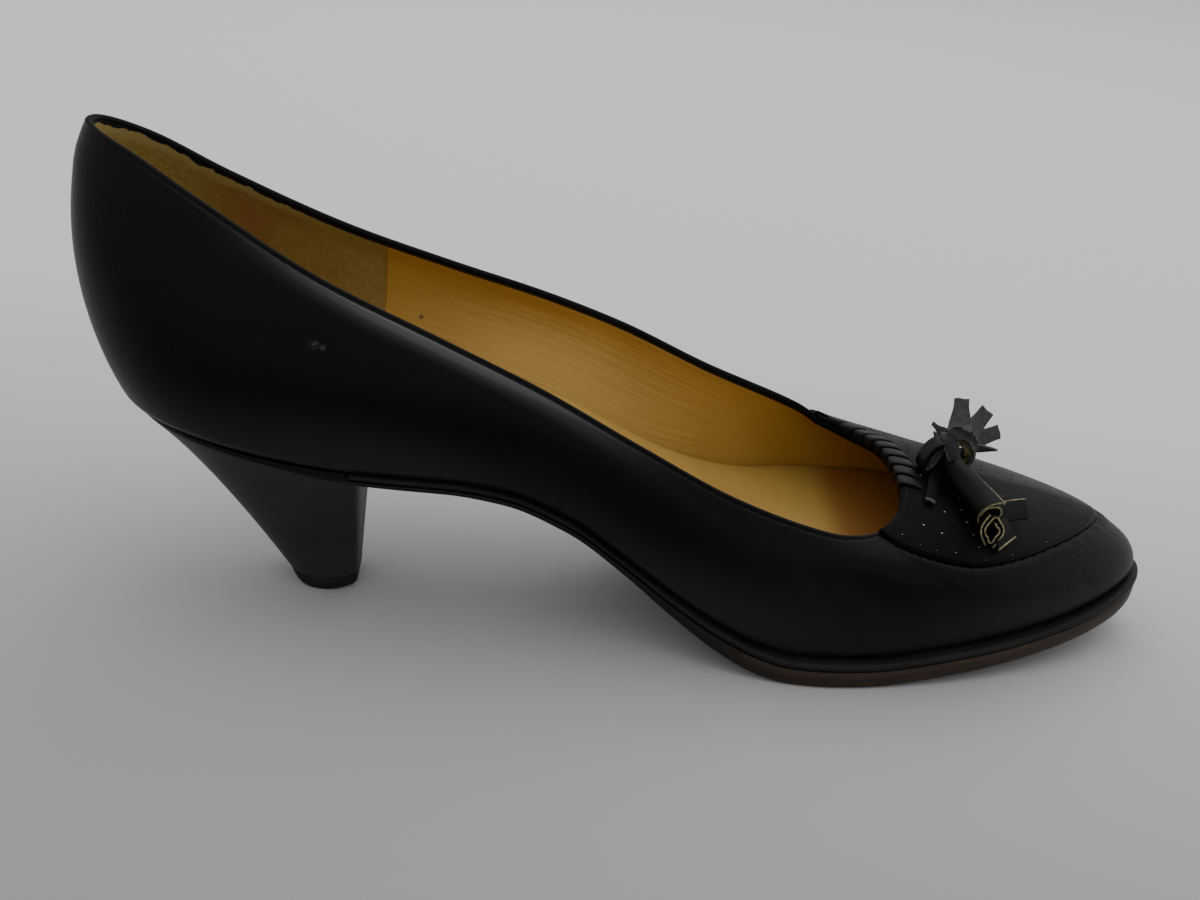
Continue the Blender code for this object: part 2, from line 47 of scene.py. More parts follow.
# the last: sizes in millimetres, as the solids are worked out
last = {
    "length": 240.5, "heelHeight": 36.5, "backHeight": 97.5, "wall": 1.8, "gap": 0.3, "liftBack": 43.0,
    "counterBack": 8.8, "seat": 38.0, "seatHalf": 24.1, "tip": 238.3, "tipY": 5.0,
    "waist": {lateral: 104.0, medial: 100.0}, "waistHalf": {lateral: 23.5, medial: 19.0},
    "ball": {lateral: 158.0, medial: 173.0}, "ballHalf": {lateral: 33.7, medial: 38.3},
    "heelRound": (2.2, 2.0), "toeRound": {lateral: (1.5, 1.8), medial: (1.8, 1.8)},
    "mouthBack": 1.8, "mouthWide": 152.0, "throat": 175.5, "throatY": 1.5,
    "mouthHalf": {lateral: 29.0, medial: 32.0}, "mouthBackRound": (2.0, 2.25),
    "mouthFrontRound": {lateral: (2.7, 2.6), medial: (2.4, 2.4)},
    "ribBreak": 122.0, "ribBreakShare": 0.38, "crowding": 1.35, "walkSteps": 4001, "ribSteps": 201,
    "apronStart": {lateral: 0.752, medial: 0.728}, "apronRun": 0.05,
}
topline = np.array([   # along, lateral height, medial height
    (0.007, 1.000, 1.000), (0.050, 0.968, 0.950), (0.106, 0.904, 0.874), (0.207, 0.782, 0.768),
    (0.308, 0.689, 0.692), (0.394, 0.604, 0.632), (0.475, 0.506, 0.564), (0.566, 0.402, 0.470),
    (0.637, 0.350, 0.410), (0.662, 0.340, 0.388), (0.687, 0.338, 0.362), (0.712, 0.348, 0.355),
    (0.730, 0.372, 0.372)])
tread = np.array([   # along, height in heel heights
    (0.033, 1.094), (0.079, 1.063), (0.125, 1.017), (0.175, 0.957), (0.229, 0.916), (0.285, 0.901),
    (0.320, 0.896), (0.369, 0.855), (0.424, 0.715), (0.475, 0.500), (0.525, 0.270), (0.566, 0.115),
    (0.600, 0.030), (0.630, 0.000), (0.690, 0.000), (0.768, 0.040), (0.880, 0.130), (1.000, 0.270)])
layers = np.array([   # along, thickness of outsole and midsole
    (0.24, 1.1, 0.7), (0.45, 1.5, 0.9), (0.60, 4.0, 1.3), (1.00, 4.0, 1.3)])
edges = np.array([   # along, how far outsole and midsole stand out
    (0.24, 0.2, 0.2), (0.48, 0.6, 0.6), (0.62, 2.0, 2.0), (0.95, 2.0, 2.0), (1.00, 1.2, 1.5)])
outsole, midsole = 1, 2   # their columns in both tables
ribTable = np.array([   # way round, out and up at the feather line, out and down at the topline
    (0.00, 10.3, 14.7, 6.2, 17.4), (0.06, 7.9, 14.1, 7.8, 16.6), (0.12, 7.7, 13.7, 9.3, 16.6),
    (0.25, 6.0, 14.0, 8.0, 15.0), (0.45, 5.0, 10.0, 4.5, 10.0), (0.62, 4.5, 11.0, 6.0, 8.5),
    (0.82, 3.5, 11.0, 24.0, 4.4), (1.00, 2.0, 10.0, 39.0, 2.4)])
apronEdge = np.array([   # way round, share up the rib
    (0.73, 0.80), (0.76, 0.76), (0.79, 0.67), (0.84, 0.58), (0.90, 0.51), (1.00, 0.42)])

liftLow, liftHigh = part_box("top_lift")
# the last's origin in the frame
lastAt = np.array([liftLow.x - last["liftBack"] * mm, (liftLow.y + liftHigh.y) / 2, 0.0])
print("frame loaded, last at", lastAt)


# materials: a socket with maths, and a finish made of nodes
def mathNode(operation, swap=False):   # an operator that adds a Math node
    def operator(wire, *others):
        values = [*others, wire] if swap else [wire, *others]
        return wire.finish.add("ShaderNodeMath", {"operation": operation}, dict(enumerate(values)))
    return operator


class Wire:
    def __init__(self, finish, socket):
        self.finish, self.socket = finish, socket

    __add__ = __radd__ = mathNode("ADD")
    __sub__ = mathNode("SUBTRACT")
    __rsub__ = mathNode("SUBTRACT", swap=True)
    __mul__ = __rmul__ = mathNode("MULTIPLY")
    __truediv__ = mathNode("DIVIDE")
    __abs__ = mathNode("ABSOLUTE")

    def between(self, low, high):   # 0 at low, 1 at high, softened
        return self.finish.add("ShaderNodeMapRange", {"interpolation_type": "SMOOTHSTEP"},
                               {0: self, 1: low, 2: high, 3: 0.0, 4: 1.0})

    def fade(self, low, high):   # 1 at low, 0 at high
        return 1.0 - self.between(low, high)

    def window(self, rise, risen, fall, fallen):   # 1 from risen to fall
        return self.between(rise, risen) * self.fade(fall, fallen)


class Finish:
    def __init__(self, name, **sockets):
        self.material = bpy.data.materials.new(name)
        self.material.use_nodes = True
        self.tree = self.material.node_tree
        self.shader = self.tree.nodes["Principled BSDF"]
        for socket, value in sockets.items():
            self.set(socket, value)

    def add(self, kind, settings={}, sockets={}, out=0):
        node = self.tree.nodes.new(kind)
        for key, value in settings.items():
            setattr(node, key, value)
        for key, value in sockets.items():
            self.plug(node.inputs[key], value)
        return Wire(self, node.outputs[out])

    def plug(self, socket, value):
        if isinstance(value, Wire):
            self.tree.links.new(value.socket, socket)
        elif isinstance(value, tuple) and socket.type == "RGBA" and len(value) == 3:
            socket.default_value = (*value, 1)
        else:
            socket.default_value = value

    def set(self, socket, value):
        self.plug(self.shader.inputs[socket.replace("_", " ")], value)

    def place(self):
        return self.add("ShaderNodeTexCoord", out="Object")

    def uv(self):
        return self.add("ShaderNodeUVMap", {"uv_map": "UVMap"})

    def split(self, vector):
        node = self.add("ShaderNodeSeparateXYZ", {}, {0: vector}).socket.node
        return [Wire(self, node.outputs[k]) for k in range(3)]

    def lastMm(self, axis=0):   # millimetres along the last, across it or up
        return (self.split(self.place())[axis] - float(lastAt[axis])) / mm

    def uvMm(self, axis):
        return self.split(self.uv())[axis] / mm

    def vector(self, operation, a, b, out=0):
        return self.add("ShaderNodeVectorMath", {"operation": operation}, {0: a, 1: b}, out)

    def noise(self, vector, scale, detail=3.0, rough=0.5):
        return self.add("ShaderNodeTexNoise", {}, {"Vector": vector, "Scale": scale, "Detail": detail,
                                                   "Roughness": rough})

    def cells(self, vector, scale):
        return self.add("ShaderNodeTexVoronoi", {"feature": "F1"}, {"Vector": vector, "Scale": scale})

    def mix(self, share, a, b):
        return self.add("ShaderNodeMix", {"data_type": "RGBA"}, {0: share, 6: a, 7: b}, out=2)

    def near(self, spot, reach):   # 1 at a spot given in the last's millimetres, 0 beyond its reach
        middle = tuple(np.array(spot) * mm + lastAt)
        return self.vector("DISTANCE", self.place(), middle, out="Value").fade(0.0, reach * mm)

    def bump(self, *layers):   # (height, millimetres) pairs stacked into the normal
        normal = None
        for height, depth in layers:
            sockets = {"Height": height, "Distance": depth * mm, "Strength": 1.0}
            if normal:
                sockets["Normal"] = normal
            normal = self.add("ShaderNodeBump", {}, sockets)
        self.set("Normal", normal)


def leatherGrain(finish, place, fine=1500.0):   # pores, fine and broad unevenness
    sway = finish.vector("MULTIPLY", finish.noise(place, 400.0), (0.4 * mm, 0.4 * mm, 0.4 * mm))
    pores = finish.cells(finish.vector("ADD", place, sway), fine)
    return pores, finish.noise(place, 260.0, 4.0, 0.6), finish.noise(place, 38.0, 3.0, 0.5)


blackShades = {   # the first three in shares of the leather's grey
    "dark": (0.8, 0.8, 0.84), "light": (1.4, 1.4, 1.45), "dusty": (3.0, 3.0, 2.9),
    # the first colour of this row is painted bounce light on the lower wall, the other two are real scuffs
    # and edge ink
    "paintedBounce": (0.018, 0.018, 0.0178), "scuffed": (0.06, 0.057, 0.05), "inked": (0.001, 0.001, 0.001)}


def blackLeather(name, roughness=0.4, coat=0.015, grey=0.002, shine=0.09, scuffs=(),
                 polish=None, ink=None, paintedBounce=None):
    made = Finish(name, Coat_Roughness=0.2, Specular_IOR_Level=shine)
    place = made.place()
    pores, uneven, broad = leatherGrain(made, place)
    dark, light, dusty = (tuple(grey * share for share in blackShades[key])
                          for key in ("dark", "light", "dusty"))
    dust = uneven.between(0.58, 0.82) * 0.3
    shade = made.mix(dust, made.mix(broad.between(0.3, 0.75), dark, light), dusty)
    # painted bounce light: the lower wall is painted lighter, for light thrown up from the floor
    if paintedBounce:
        shade = made.mix(paintedBounce(made), shade, blackShades["paintedBounce"])
    for spot, reach in scuffs:
        rubbed = made.near(spot, reach) * made.noise(place, 900.0, 3.0, 0.7).between(0.42, 0.58)
        shade = made.mix(rubbed * 0.7, shade, blackShades["scuffed"])
    if ink:
        shade = made.mix(ink(made), shade, blackShades["inked"])
    made.set("Base Color", shade)
    made.set("Roughness", roughness - 0.05 + broad * 0.1 + dust * 0.12)
    if polish:
        made.set("Coat Weight", polish(made))
    elif coat:
        made.set("Coat Weight", coat - dust * coat)
    made.bump((pores, 0.03), (uneven, 0.05), (broad, 0.25))
    return made


def rawLeather(name, roughness, shine, noise, spread, dark, light, nap=0.0):   # flesh sides and cut edges
    made = Finish(name, Roughness=roughness, Specular_IOR_Level=shine)
    frayed = made.noise(made.place(), *noise)
    made.set("Base Color", made.mix(frayed.between(*spread), dark, light))
    if nap:
        made.bump((frayed, nap))
    return made


# tables, curves and the last's outlines
def smooth(x, stations, values):   # monotone cubic through a table
    x = np.clip(np.asarray(x, float), stations[0], stations[-1])
    step = np.diff(stations)
    rise = np.diff(values) / step
    slope = np.zeros(len(values))
    same = rise[:-1] * rise[1:] > 0
    slope[1:-1][same] = 2 * rise[:-1][same] * rise[1:][same] / (rise[:-1] + rise[1:])[same]
    slope[0], slope[-1] = rise[0], rise[-1]
    i = np.clip(np.searchsorted(stations, x, side="right") - 1, 0, len(step) - 1)
    t = (x - stations[i]) / step[i]
    return ((1 + 2 * t) * (1 - t) ** 2 * values[i] + t * (1 - t) ** 2 * step[i] * slope[i]
            + t * t * (3 - 2 * t) * values[i + 1] + t * t * (t - 1) * step[i] * slope[i + 1])


def column(table, x, k):
    return smooth(np.asarray(x) / last["length"], table[:, 0], table[:, k])


def quarter(share, rounding):
    return np.clip(1 - np.clip(share, 0, 1) ** rounding[0], 0, 1) ** (1 / rounding[1])


def ease(share):
    share = np.clip(share, 0, 1)
    return share * share * (3 - 2 * share)


def hump(x, middle, reach):
    return np.exp(-((x - middle) / reach) ** 2)


def mound(x, size):   # a hump with a height
    height, middle, reach = size
    return height * hump(x, middle, reach)


def unit(vectors):
    return vectors / (np.linalg.norm(vectors, axis=-1, keepdims=True) + 1e-12)


def tangents(line):   # unit tangents along a line of points
    return unit(np.gradient(line, axis=0))


def running(line):   # length gone at each point of a line
    steps = np.linalg.norm(np.diff(line, axis=0), axis=-1)
    return np.concatenate([np.zeros_like(steps[:1]), np.cumsum(steps, axis=0)])


def readAt(stops, stations, values):   # rows of values read off between their stations
    return np.stack([np.interp(stops, stations, values[:, k]) for k in range(values.shape[1])], 1)


def stepRound(values, axis=0):   # from the place before to the place after, round a closed loop
    return np.roll(values, -1, axis) - np.roll(values, 1, axis)


def slant(slope):   # length along a slope for one step across it
    return np.sqrt(1 + np.clip(slope, -6, 6) ** 2)


def bySide(sides, table):
    return np.where(sides == lateral, table[lateral], table[medial])


def fullTurn(count):
    return np.linspace(0, 2 * math.pi, count + 1)[:-1]


def featherY(x, side):   # where the upper meets the sole, seen from above
    seat, waist, ball = last["seatHalf"], last["waistHalf"][side], last["ballHalf"][side]
    seatX, waistX, ballX = last["seat"], last["waist"][side], last["ball"][side]
    tip = side * last["tipY"]
    heel = seat * quarter((seatX - x) / (seatX - last["counterBack"]), last["heelRound"])
    toe = tip + (ball - tip) * quarter((x - ballX) / (last["tip"] - ballX), last["toeRound"][side])
    hollow = seat + (waist - seat) * ease((x - seatX) / (waistX - seatX))
    flare = waist + (ball - waist) * ease((x - waistX) / (ballX - waistX))
    half = np.where(x < seatX, heel, np.where(x > waistX, flare, hollow))
    return side * np.where(x > ballX, toe, half)


def mouthY(x, side):   # the opening, seen from above
    half, tip, wide = last["mouthHalf"][side], side * last["throatY"], last["mouthWide"]
    rear = half * quarter((wide - x) / (wide - last["mouthBack"]), last["mouthBackRound"])
    front = quarter((x - wide) / (last["throat"] - wide), last["mouthFrontRound"][side])
    return side * np.where(x < wide, rear, tip + (half - tip) * front)


def treadZ(x):
    return last["heelHeight"] * column(tread, x, 1)


def midsoleZ(x):
    return treadZ(x) + column(layers, x, outsole) + last["gap"]


def featherZ(x):
    return midsoleZ(x) + column(layers, x, midsole) + last["gap"]


def sideNormals(line, side):
    tangent = tangents(line)
    return side * np.stack([-tangent[:, 1], tangent[:, 0]], 1)


def walk(plan, side, start, end, stops, grow=None):   # points and outward normals along one side of a plan
    x = start + (end - start) * (1 - np.cos(np.linspace(0, math.pi, last["walkSteps"]))) / 2
    line = np.stack([x, plan(x, side)], 1)
    normal = sideNormals(line, side)
    if grow:
        line = line + normal * grow(line[:, 0])[:, None]
        normal = sideNormals(line, side)
    length = running(line)
    stops = length[-1] * (np.linspace(0, 1, stops) if np.isscalar(stops) else stops)
    return readAt(stops, length, line), unit(readAt(stops, length, normal))


def bothWalks(plan, start, end, stops, grow=None):   # the points alone, lateral and medial
    return [walk(plan, side, start, end, stops, grow)[0] for side in (lateral, medial)]


def sideRibs(side, rearSteps, toeSteps):   # cubic curves from feather line to topline, and their way round
    rearStops = np.linspace(0, 1, rearSteps + 1) ** last["crowding"]
    toeStops = 1 - np.linspace(1, 0, toeSteps + 1) ** last["crowding"]

    def bothStages(plan, back, tip):
        rear, rearOut = walk(plan, side, back, last["ribBreak"], rearStops)
        toe, toeOut = walk(plan, side, last["ribBreak"], tip, toeStops)
        return np.vstack([rear, toe[1:]]), np.vstack([rearOut, toeOut[1:]])

    foot, footOut = bothStages(featherY, last["counterBack"], last["tip"])
    top, topOut = bothStages(mouthY, last["mouthBack"], last["throat"])
    share = last["ribBreakShare"]
    way = np.r_[share * rearStops, (share + (1 - share) * toeStops)[1:]]
    foot = np.column_stack([foot, featherZ(foot[:, 0])])
    topHeight = column(topline, top[:, 0], 1 if side == lateral else 2)
    top = np.column_stack([top, last["backHeight"] * topHeight])
    outLow, upLow, outHigh, downHigh = (smooth(way, ribTable[:, 0], ribTable[:, k]) for k in range(1, 5))
    low = foot + np.column_stack([footOut * outLow[:, None], upLow])
    high = top + np.column_stack([topOut * outHigh[:, None], -downHigh])
    return np.stack([foot, low, high, top], 1), way


def allRibs(rearSteps, toeSteps):   # back, lateral side, toe, medial side
    near, way = sideRibs(lateral, rearSteps, toeSteps)
    far, way = sideRibs(medial, rearSteps, toeSteps)
    sides = np.r_[np.full(len(near), lateral), np.full(len(far) - 2, medial)]
    return np.concatenate([near, far[-2:0:-1]]), np.r_[way, way[-2:0:-1]], sides


def ribCurves(ribs):   # each rib from the topline down, with its running length
    t = np.linspace(1, 0, last["ribSteps"])[:, None, None]
    curve = ((1 - t) ** 3 * ribs[:, 0] + 3 * t * (1 - t) ** 2 * ribs[:, 1]
             + 3 * t ** 2 * (1 - t) * ribs[:, 2] + t ** 3 * ribs[:, 3])
    return curve, running(curve)


def alongRibs(curve, length, depths):   # points at depths [row, rib] below the topline
    ribs = range(depths.shape[1])
    return np.stack([readAt(depths[:, rib], length[:, rib], curve[:, rib]) for rib in ribs], 1)


def outward(points, closed=False):   # unit normals of a grid [row down, place round]
    along = stepRound(points, 1) if closed else np.gradient(points, axis=1)
    return unit(np.cross(np.gradient(points, axis=0), along))


def wallNormals(points):   # normals of the closed wall, away from the foot
    normal = outward(points, closed=True)
    return normal if (normal[..., 1] * points[..., 1]).mean() > 0 else -normal


def apronDepth(way, sides, length):   # how far below the topline the apron's seam runs on each rib
    t = smooth(way, apronEdge[:, 0], apronEdge[:, 1])
    shares = np.linspace(0, 1, last["ribSteps"])
    depth = np.array([np.interp(1 - t[k], shares, length[:, k]) for k in range(len(way))])
    run = np.clip((way - bySide(sides, last["apronStart"])) / last["apronRun"], 0, 1)
    return depth * np.sqrt(1 - (1 - run) ** 2)


# building blocks
def finishPiece(piece, finishes, slot, *nodes):
    for finish in finishes:
        piece.data.materials.append(finish.material)
    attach(piece, "root")
    if nodes:
        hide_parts(*nodes)
    print(piece.name, len(piece.data.polygons), "faces")


def activate(piece):
    bpy.ops.object.select_all(action="DESELECT")
    bpy.context.view_layer.objects.active = piece
    piece.select_set(True)


def editMode(piece):
    activate(piece)
    bpy.ops.object.mode_set(mode="EDIT")


def objectMode():
    bpy.ops.object.mode_set(mode="OBJECT")


def applyModifier(piece, kind, **settings):
    activate(piece)
    made = piece.modifiers.new(kind.lower(), kind)
    for key, value in settings.items():
        setattr(made, key, value)
    bpy.ops.object.modifier_apply(modifier=made.name)


def bentGrid(name, points, uv=None, around=False, loop=False, slots=None, drop=None):
    # a grid bent to points [row, place] in the last's millimetres; around closes the places, loop the rows
    if around:
        points = np.concatenate([points, points[:, :1]], 1)
    if loop:
        points = np.concatenate([points, points[:1]])
    rows, places = points.shape[:2]
    bpy.ops.object.select_all(action="DESELECT")
    bpy.ops.mesh.primitive_grid_add(x_subdivisions=places - 1, y_subdivisions=rows - 1, size=1)
    piece = bpy.context.object
    piece.name = piece.data.name = name
    mesh = piece.data
    mesh.vertices.foreach_set("co", (points * mm + lastAt).astype(np.float32).ravel())
    if uv is not None:
        corner = np.empty(len(mesh.loops), int)
        mesh.loops.foreach_get("vertex_index", corner)
        mesh.uv_layers[0].data.foreach_set("uv", uv.reshape(-1, 2)[corner].astype(np.float32).ravel())
    if slots is not None:
        mesh.polygons.foreach_set("material_index", slots.ravel())
    if drop is not None:
        mesh.polygons.foreach_set("select", drop.ravel())
        mesh.vertices.foreach_set("select", np.zeros(len(mesh.vertices), bool))
        mesh.edges.foreach_set("select", np.zeros(len(mesh.edges), bool))
        editMode(piece)
        bpy.ops.mesh.select_mode(type="FACE")
        bpy.ops.mesh.delete(type="FACE")
        bpy.ops.mesh.select_mode(type="VERT")
        objectMode()
    mesh.update()
    editMode(piece)
    bpy.ops.mesh.select_all(action="SELECT")
    bpy.ops.mesh.remove_doubles(threshold=2e-6)
    bpy.ops.mesh.normals_make_consistent(inside=False)
    objectMode()
    bpy.ops.object.shade_smooth()
    return piece


def closeEnds(piece, crease=50):   # fill the open ends of a lofted piece
    editMode(piece)
    bpy.ops.mesh.select_all(action="DESELECT")
    bpy.ops.mesh.select_non_manifold(extend=False)
    bpy.ops.mesh.fill_holes(sides=0)
    bpy.ops.mesh.select_all(action="SELECT")
    bpy.ops.mesh.normals_make_consistent(inside=False)
    objectMode()
    bpy.ops.object.shade_smooth_by_angle(angle=math.radians(crease))


def lofts(name, rings):   # separate lofts in one piece, from rings [loft, section, turn]
    count, deep, turns = rings.shape[:3]
    drop = np.zeros((count * deep - 1, turns), bool)
    drop[deep - 1::deep] = True
    return bentGrid(name, rings.reshape(count * deep, turns, 3), around=True, drop=drop)


def evenly(line, pitch):   # points and their shares at an even pitch along a line
    length = running(line)
    stops = np.linspace(0, length[-1], max(2, int(round(length[-1] / pitch)) + 1))
    return readAt(stops, length, line), stops / length[-1]


stitchProfile = [   # place along the stitch, size and lift in threads
    (-0.5, 0.25, -0.9), (-0.36, 0.8, -0.1), (0.0, 1.0, 0.25), (0.36, 0.8, -0.1), (0.5, 0.25, -0.9)]


def stitchRow(name, line, normals, pitch, thread, long):   # thread stitches laid along a line
    at, share = evenly(line, pitch)
    length = running(line)
    up = unit(readAt(share * length[-1], length, normals))
    along = tangents(at)
    across = np.cross(up, along)
    turn = fullTurn(6)[None, :, None]
    bent = across[:, None] * np.cos(turn) + up[:, None] * np.sin(turn)
    sections = []
    for place, size, lift in stitchProfile:
        middle = at + along * place * long + up * lift * thread
        sections.append(middle[:, None] + thread * size * bent)
    piece = lofts(name, np.stack(sections, 1))
    closeEnds(piece)
    finishPiece(piece, [threadBlack], "black_leather")


# upper: one wall from the feather line, over the folded topline and down the lining
upperShape = {
    "rear": 70, "toe": 150, "topRows": 17, "topBand": 5.4, "topCrowding": 1.25,
    "rows": 34, "rowCrowding": 1.35, "innerRows": 40, "innerCrowding": 1.7,
    "rim": 0.45, "rimSteps": 8, "fold": 1.45, "rollIn": 1.9, "rollFrom": 1.05, "rollDepth": 4.6,
    "rollMiddle": 74.0, "rollReach": 40.0, "rollSide": {lateral: 1.0, medial: 0.6}, "innerRoll": 7.0,
    "flankStart": {lateral: 0.745, medial: 0.72}, "flankRun": 0.02,
    # height, middle and reach of what swells or sinks
    "swell": (0.25, 7.0, 3.5), "tuck": (0.8, 0.0, 1.2), "groove": (0.3, 1.1, 0.28),
    "ridge": (0.62, 0.5, 2.6), "gather": (0.015, 3.0, 1.6), "gathers": 420, "underApron": 0.35,
    "stitch": {"pitch": 2.1, "thread": 0.13, "long": 1.6}, "stitchSink": 0.3,
}
creases = [   # soft troughs and ridges: start, end, reach, depth (out is positive)
    ((164, -34, 24), (176, -36, 14), 3.0, -0.35), ((170, -34, 24), (183, -35, 15), 2.6, 0.25),
    ((180, -33, 23), (190, -34, 14), 2.6, -0.22), ((150, -33, 26), (160, -36, 16), 3.2, -0.25),
    ((166, 38, 24), (178, 39, 14), 3.0, -0.3), ((174, 37, 23), (186, 38, 14), 2.8, 0.22),
    ((118, -30, 36), (134, -33, 24), 4.5, -0.3), ((112, 24, 40), (128, 29, 28), 4.0, -0.3),
    ((36, -30, 56), (58, -30, 52), 7.0, 0.3), ((30, 28, 58), (52, 30, 52), 6.5, 0.28),
    ((206, -24, 20), (214, -25, 12), 2.2, -0.14), ((216, -16, 21), (226, -17, 13), 2.2, -0.12),
]
upperLook = {
    "rubDepths": (1.25, 1.8, 2.4, 6.0), "rubAlong": (26.0, 68.0, 88.0, 126.0),
    "rubCoat": 0.75, "plainCoat": 0.02,
    # where the painted bounce light lies on the lower wall
    "seatHeight": 39.0, "archDrop": 29.0, "arch": (46.0, 152.0), "paintedBounceReach": (0.5, 17.0),
    "paintedBounceRise": (30.0, 80.0), "paintedBounceFall": (132.0, 168.0),
    "scuffs": [((50.0, -27.5, 64.3), 1.3), ((51.6, -27.5, 63.9), 1.0)],
}
liningLook = {
    "tan": ((0.405, 0.222, 0.036), (0.45, 0.256, 0.046)), "streak": (0.33, 0.175, 0.026),
    "nap": ((0.225, 0.155, 0.034), (0.29, 0.206, 0.056)), "stain": (0.24, 0.122, 0.032),
    # the toe colour is painted shade inside the toe
    "ragged": (0.31, 0.243, 0.08), "seam": (0.2, 0.12, 0.03), "toe": (0.27, 0.10, 0.015),
    "nick": (0.05, 0.03, 0.01), "fold": (0.0032, 0.0032, 0.0032),
    "gripEnd": 59.0, "nickAt": (67.5, 27.9, 52.3), "nickReach": 0.9,
}


def rubbedEdge(made):   # leather polished by hands below the near topline
    rubbed = made.uvMm(1).window(*upperLook["rubDepths"]) * made.lastMm().window(*upperLook["rubAlong"])
    return rubbed * upperLook["rubCoat"] + upperLook["plainCoat"]


def paintedBounceWall(made):   # painted bounce light: leather painted greyer towards the welt, most of all in the waist, for light thrown up from the floor
    along = made.lastMm()
    weltHeight = upperLook["seatHeight"] - along.between(*upperLook["arch"]) * upperLook["archDrop"]
    share = 0.7 + along.between(*upperLook["paintedBounceRise"]) * 0.3
    share = share * (1.0 - along.between(*upperLook["paintedBounceFall"]) * 0.6)
    return (made.lastMm(2) - weltHeight).fade(*upperLook["paintedBounceReach"]) * share


def tanLining():   # smooth tan leather, with a suede grip round the heel
    made = Finish("liningTan", Specular_IOR_Level=0.35)
    place, along, look = made.place(), made.lastMm(), liningLook
    pores, uneven, broad = leatherGrain(made, place, 1300.0)
    streaks = made.noise(made.vector("MULTIPLY", made.uv(), (45.0, 620.0, 1.0)), 1.0, 4.0, 0.6)
    suede = along.fade(look["gripEnd"] - 0.3, look["gripEnd"] + 0.2)
    frayed = ((uneven - 0.5) * 3.2 + 0.25) * along.fade(26.0, 52.0)
    depth = made.uvMm(1) + frayed
    folded = depth.fade(upperShape["fold"] - 0.12, upperShape["fold"] + 0.12)   # black over the edge
    ragged = depth.fade(2.4, 4.4) * along.fade(30.0, 58.0)   # torn upper edge of the grip
    stain = along.window(16.0, 30.0, 46.0, 60.0) * broad.between(0.4, 0.6)
    seam = abs(along - look["gripEnd"]).fade(0.1, 0.4)
    tan = made.mix(broad.between(0.3, 0.7), *look["tan"])
    tan = made.mix(streaks.between(0.45, 0.75) * 0.3, tan, look["streak"])
    nap = made.mix(made.noise(place, 700.0, 4.0, 0.7).between(0.3, 0.7), *look["nap"])
    nap = made.mix(stain * 0.8, nap, look["stain"])
    tan = made.mix(suede, tan, made.mix(ragged, nap, look["ragged"]))
    tan = made.mix(seam * 0.4, tan, look["seam"])
    # painted shade: the lining is painted darker towards the toe, where the inside of the shoe lies in
    # shadow
    tan = made.mix(along.between(150.0, 205.0) * 0.85, tan, look["toe"])
    tan = made.mix(made.near(look["nickAt"], look["nickReach"]), tan, look["nick"])
    made.set("Base Color", made.mix(folded, tan, look["fold"]))
    made.set("Roughness", 0.5 + suede * 0.35 + broad * 0.1)
    wrinkled = along.window(60.0, 74.0, 132.0, 150.0)
    made.bump((pores, 0.03), (uneven * suede, 0.25), (streaks * wrinkled, 0.35), (1.0 - seam, 0.2),
              (1.0 - folded, 0.12))
    return made


# with painted bounce light on the lower wall
upperBlack = blackLeather("upperBlack", polish=rubbedEdge, paintedBounce=paintedBounceWall, scuffs=upperLook["scuffs"])
liningTan = tanLining()
foldBlack = blackLeather("foldBlack", 0.6, 0.0, 0.0028, 0.05)
threadBlack = Finish("threadBlack", Roughness=0.75, Specular_IOR_Level=0.08)
twist = threadBlack.noise(threadBlack.place(), 2600.0)
threadBlack.set("Base Color", threadBlack.mix(twist, (0.002, 0.002, 0.002), (0.006, 0.006, 0.006)))
threadBlack.bump((twist, 0.05))


def rollIn(depth):   # the leather below the edge seam turns in towards the foot
    share = np.clip((depth - upperShape["rollFrom"]) / upperShape["rollDepth"], 0, 1)
    return 1 - np.sqrt(1 - (1 - share) ** 2)


def creased(points):   # height of the creases at points
    rise = np.zeros(points.shape[:-1])
    for start, end, reach, depth in creases:
        start, end = np.array(start, float), np.array(end, float)
        run = end - start
        share = np.clip(((points - start) @ run) / (run @ run), 0, 1)
        gap = np.linalg.norm(points - (start + share[..., None] * run), axis=-1)
        rise += depth * hump(gap, 0, reach) * np.sqrt(np.clip(4 * share * (1 - share), 0, 1) * 0.8 + 0.2)
    return rise


ribs, way, sides = allRibs(upperShape["rear"], upperShape["toe"])
curve, length = ribCurves(ribs)
whole = length[-1]
topShares = np.linspace(0, 1, upperShape["topRows"]) ** upperShape["topCrowding"]
topDepths = upperShape["rim"] + topShares * upperShape["topBand"]
lowShares = 1 - (1 - np.linspace(0, 1, upperShape["rows"] + 1)[1:, None]) ** upperShape["rowCrowding"]
lowDepths = topDepths[-1] + (whole - topDepths[-1]) * lowShares
depths = np.vstack([np.repeat(topDepths[:, None], len(way), 1), lowDepths])
outer = alongRibs(curve, length, depths)
normals = wallNormals(outer)
seamDepth = apronDepth(way, sides, length)
seamSlope = stepRound(seamDepth) / np.linalg.norm(stepRound(ribs[:, 3]), axis=1)
below = (depths - seamDepth) / slant(seamSlope)   # beyond the apron's seam
# 1 beside the apron, 0 along the opening
flank = ease((way - bySide(sides, upperShape["flankStart"])) / upperShape["flankRun"])
rolled = upperShape["rollIn"] * hump(ribs[:, 3, 0], upperShape["rollMiddle"], upperShape["rollReach"])
rolled = rolled * bySide(sides, upperShape["rollSide"]) * (1 - flank)
relief = creased(outer) - rolled * rollIn(depths) + mound(depths, upperShape["swell"]) * (1 - flank)
# tucked under at the feather line and grooved by the edge seam, both less round the back
relief -= mound(whole - depths, upperShape["tuck"]) * (0.3 + 0.7 * ease(way / 0.1))
relief -= mound(depths, upperShape["groove"]) * (1 - flank) * (0.3 + 0.7 * ease(way / 0.16))
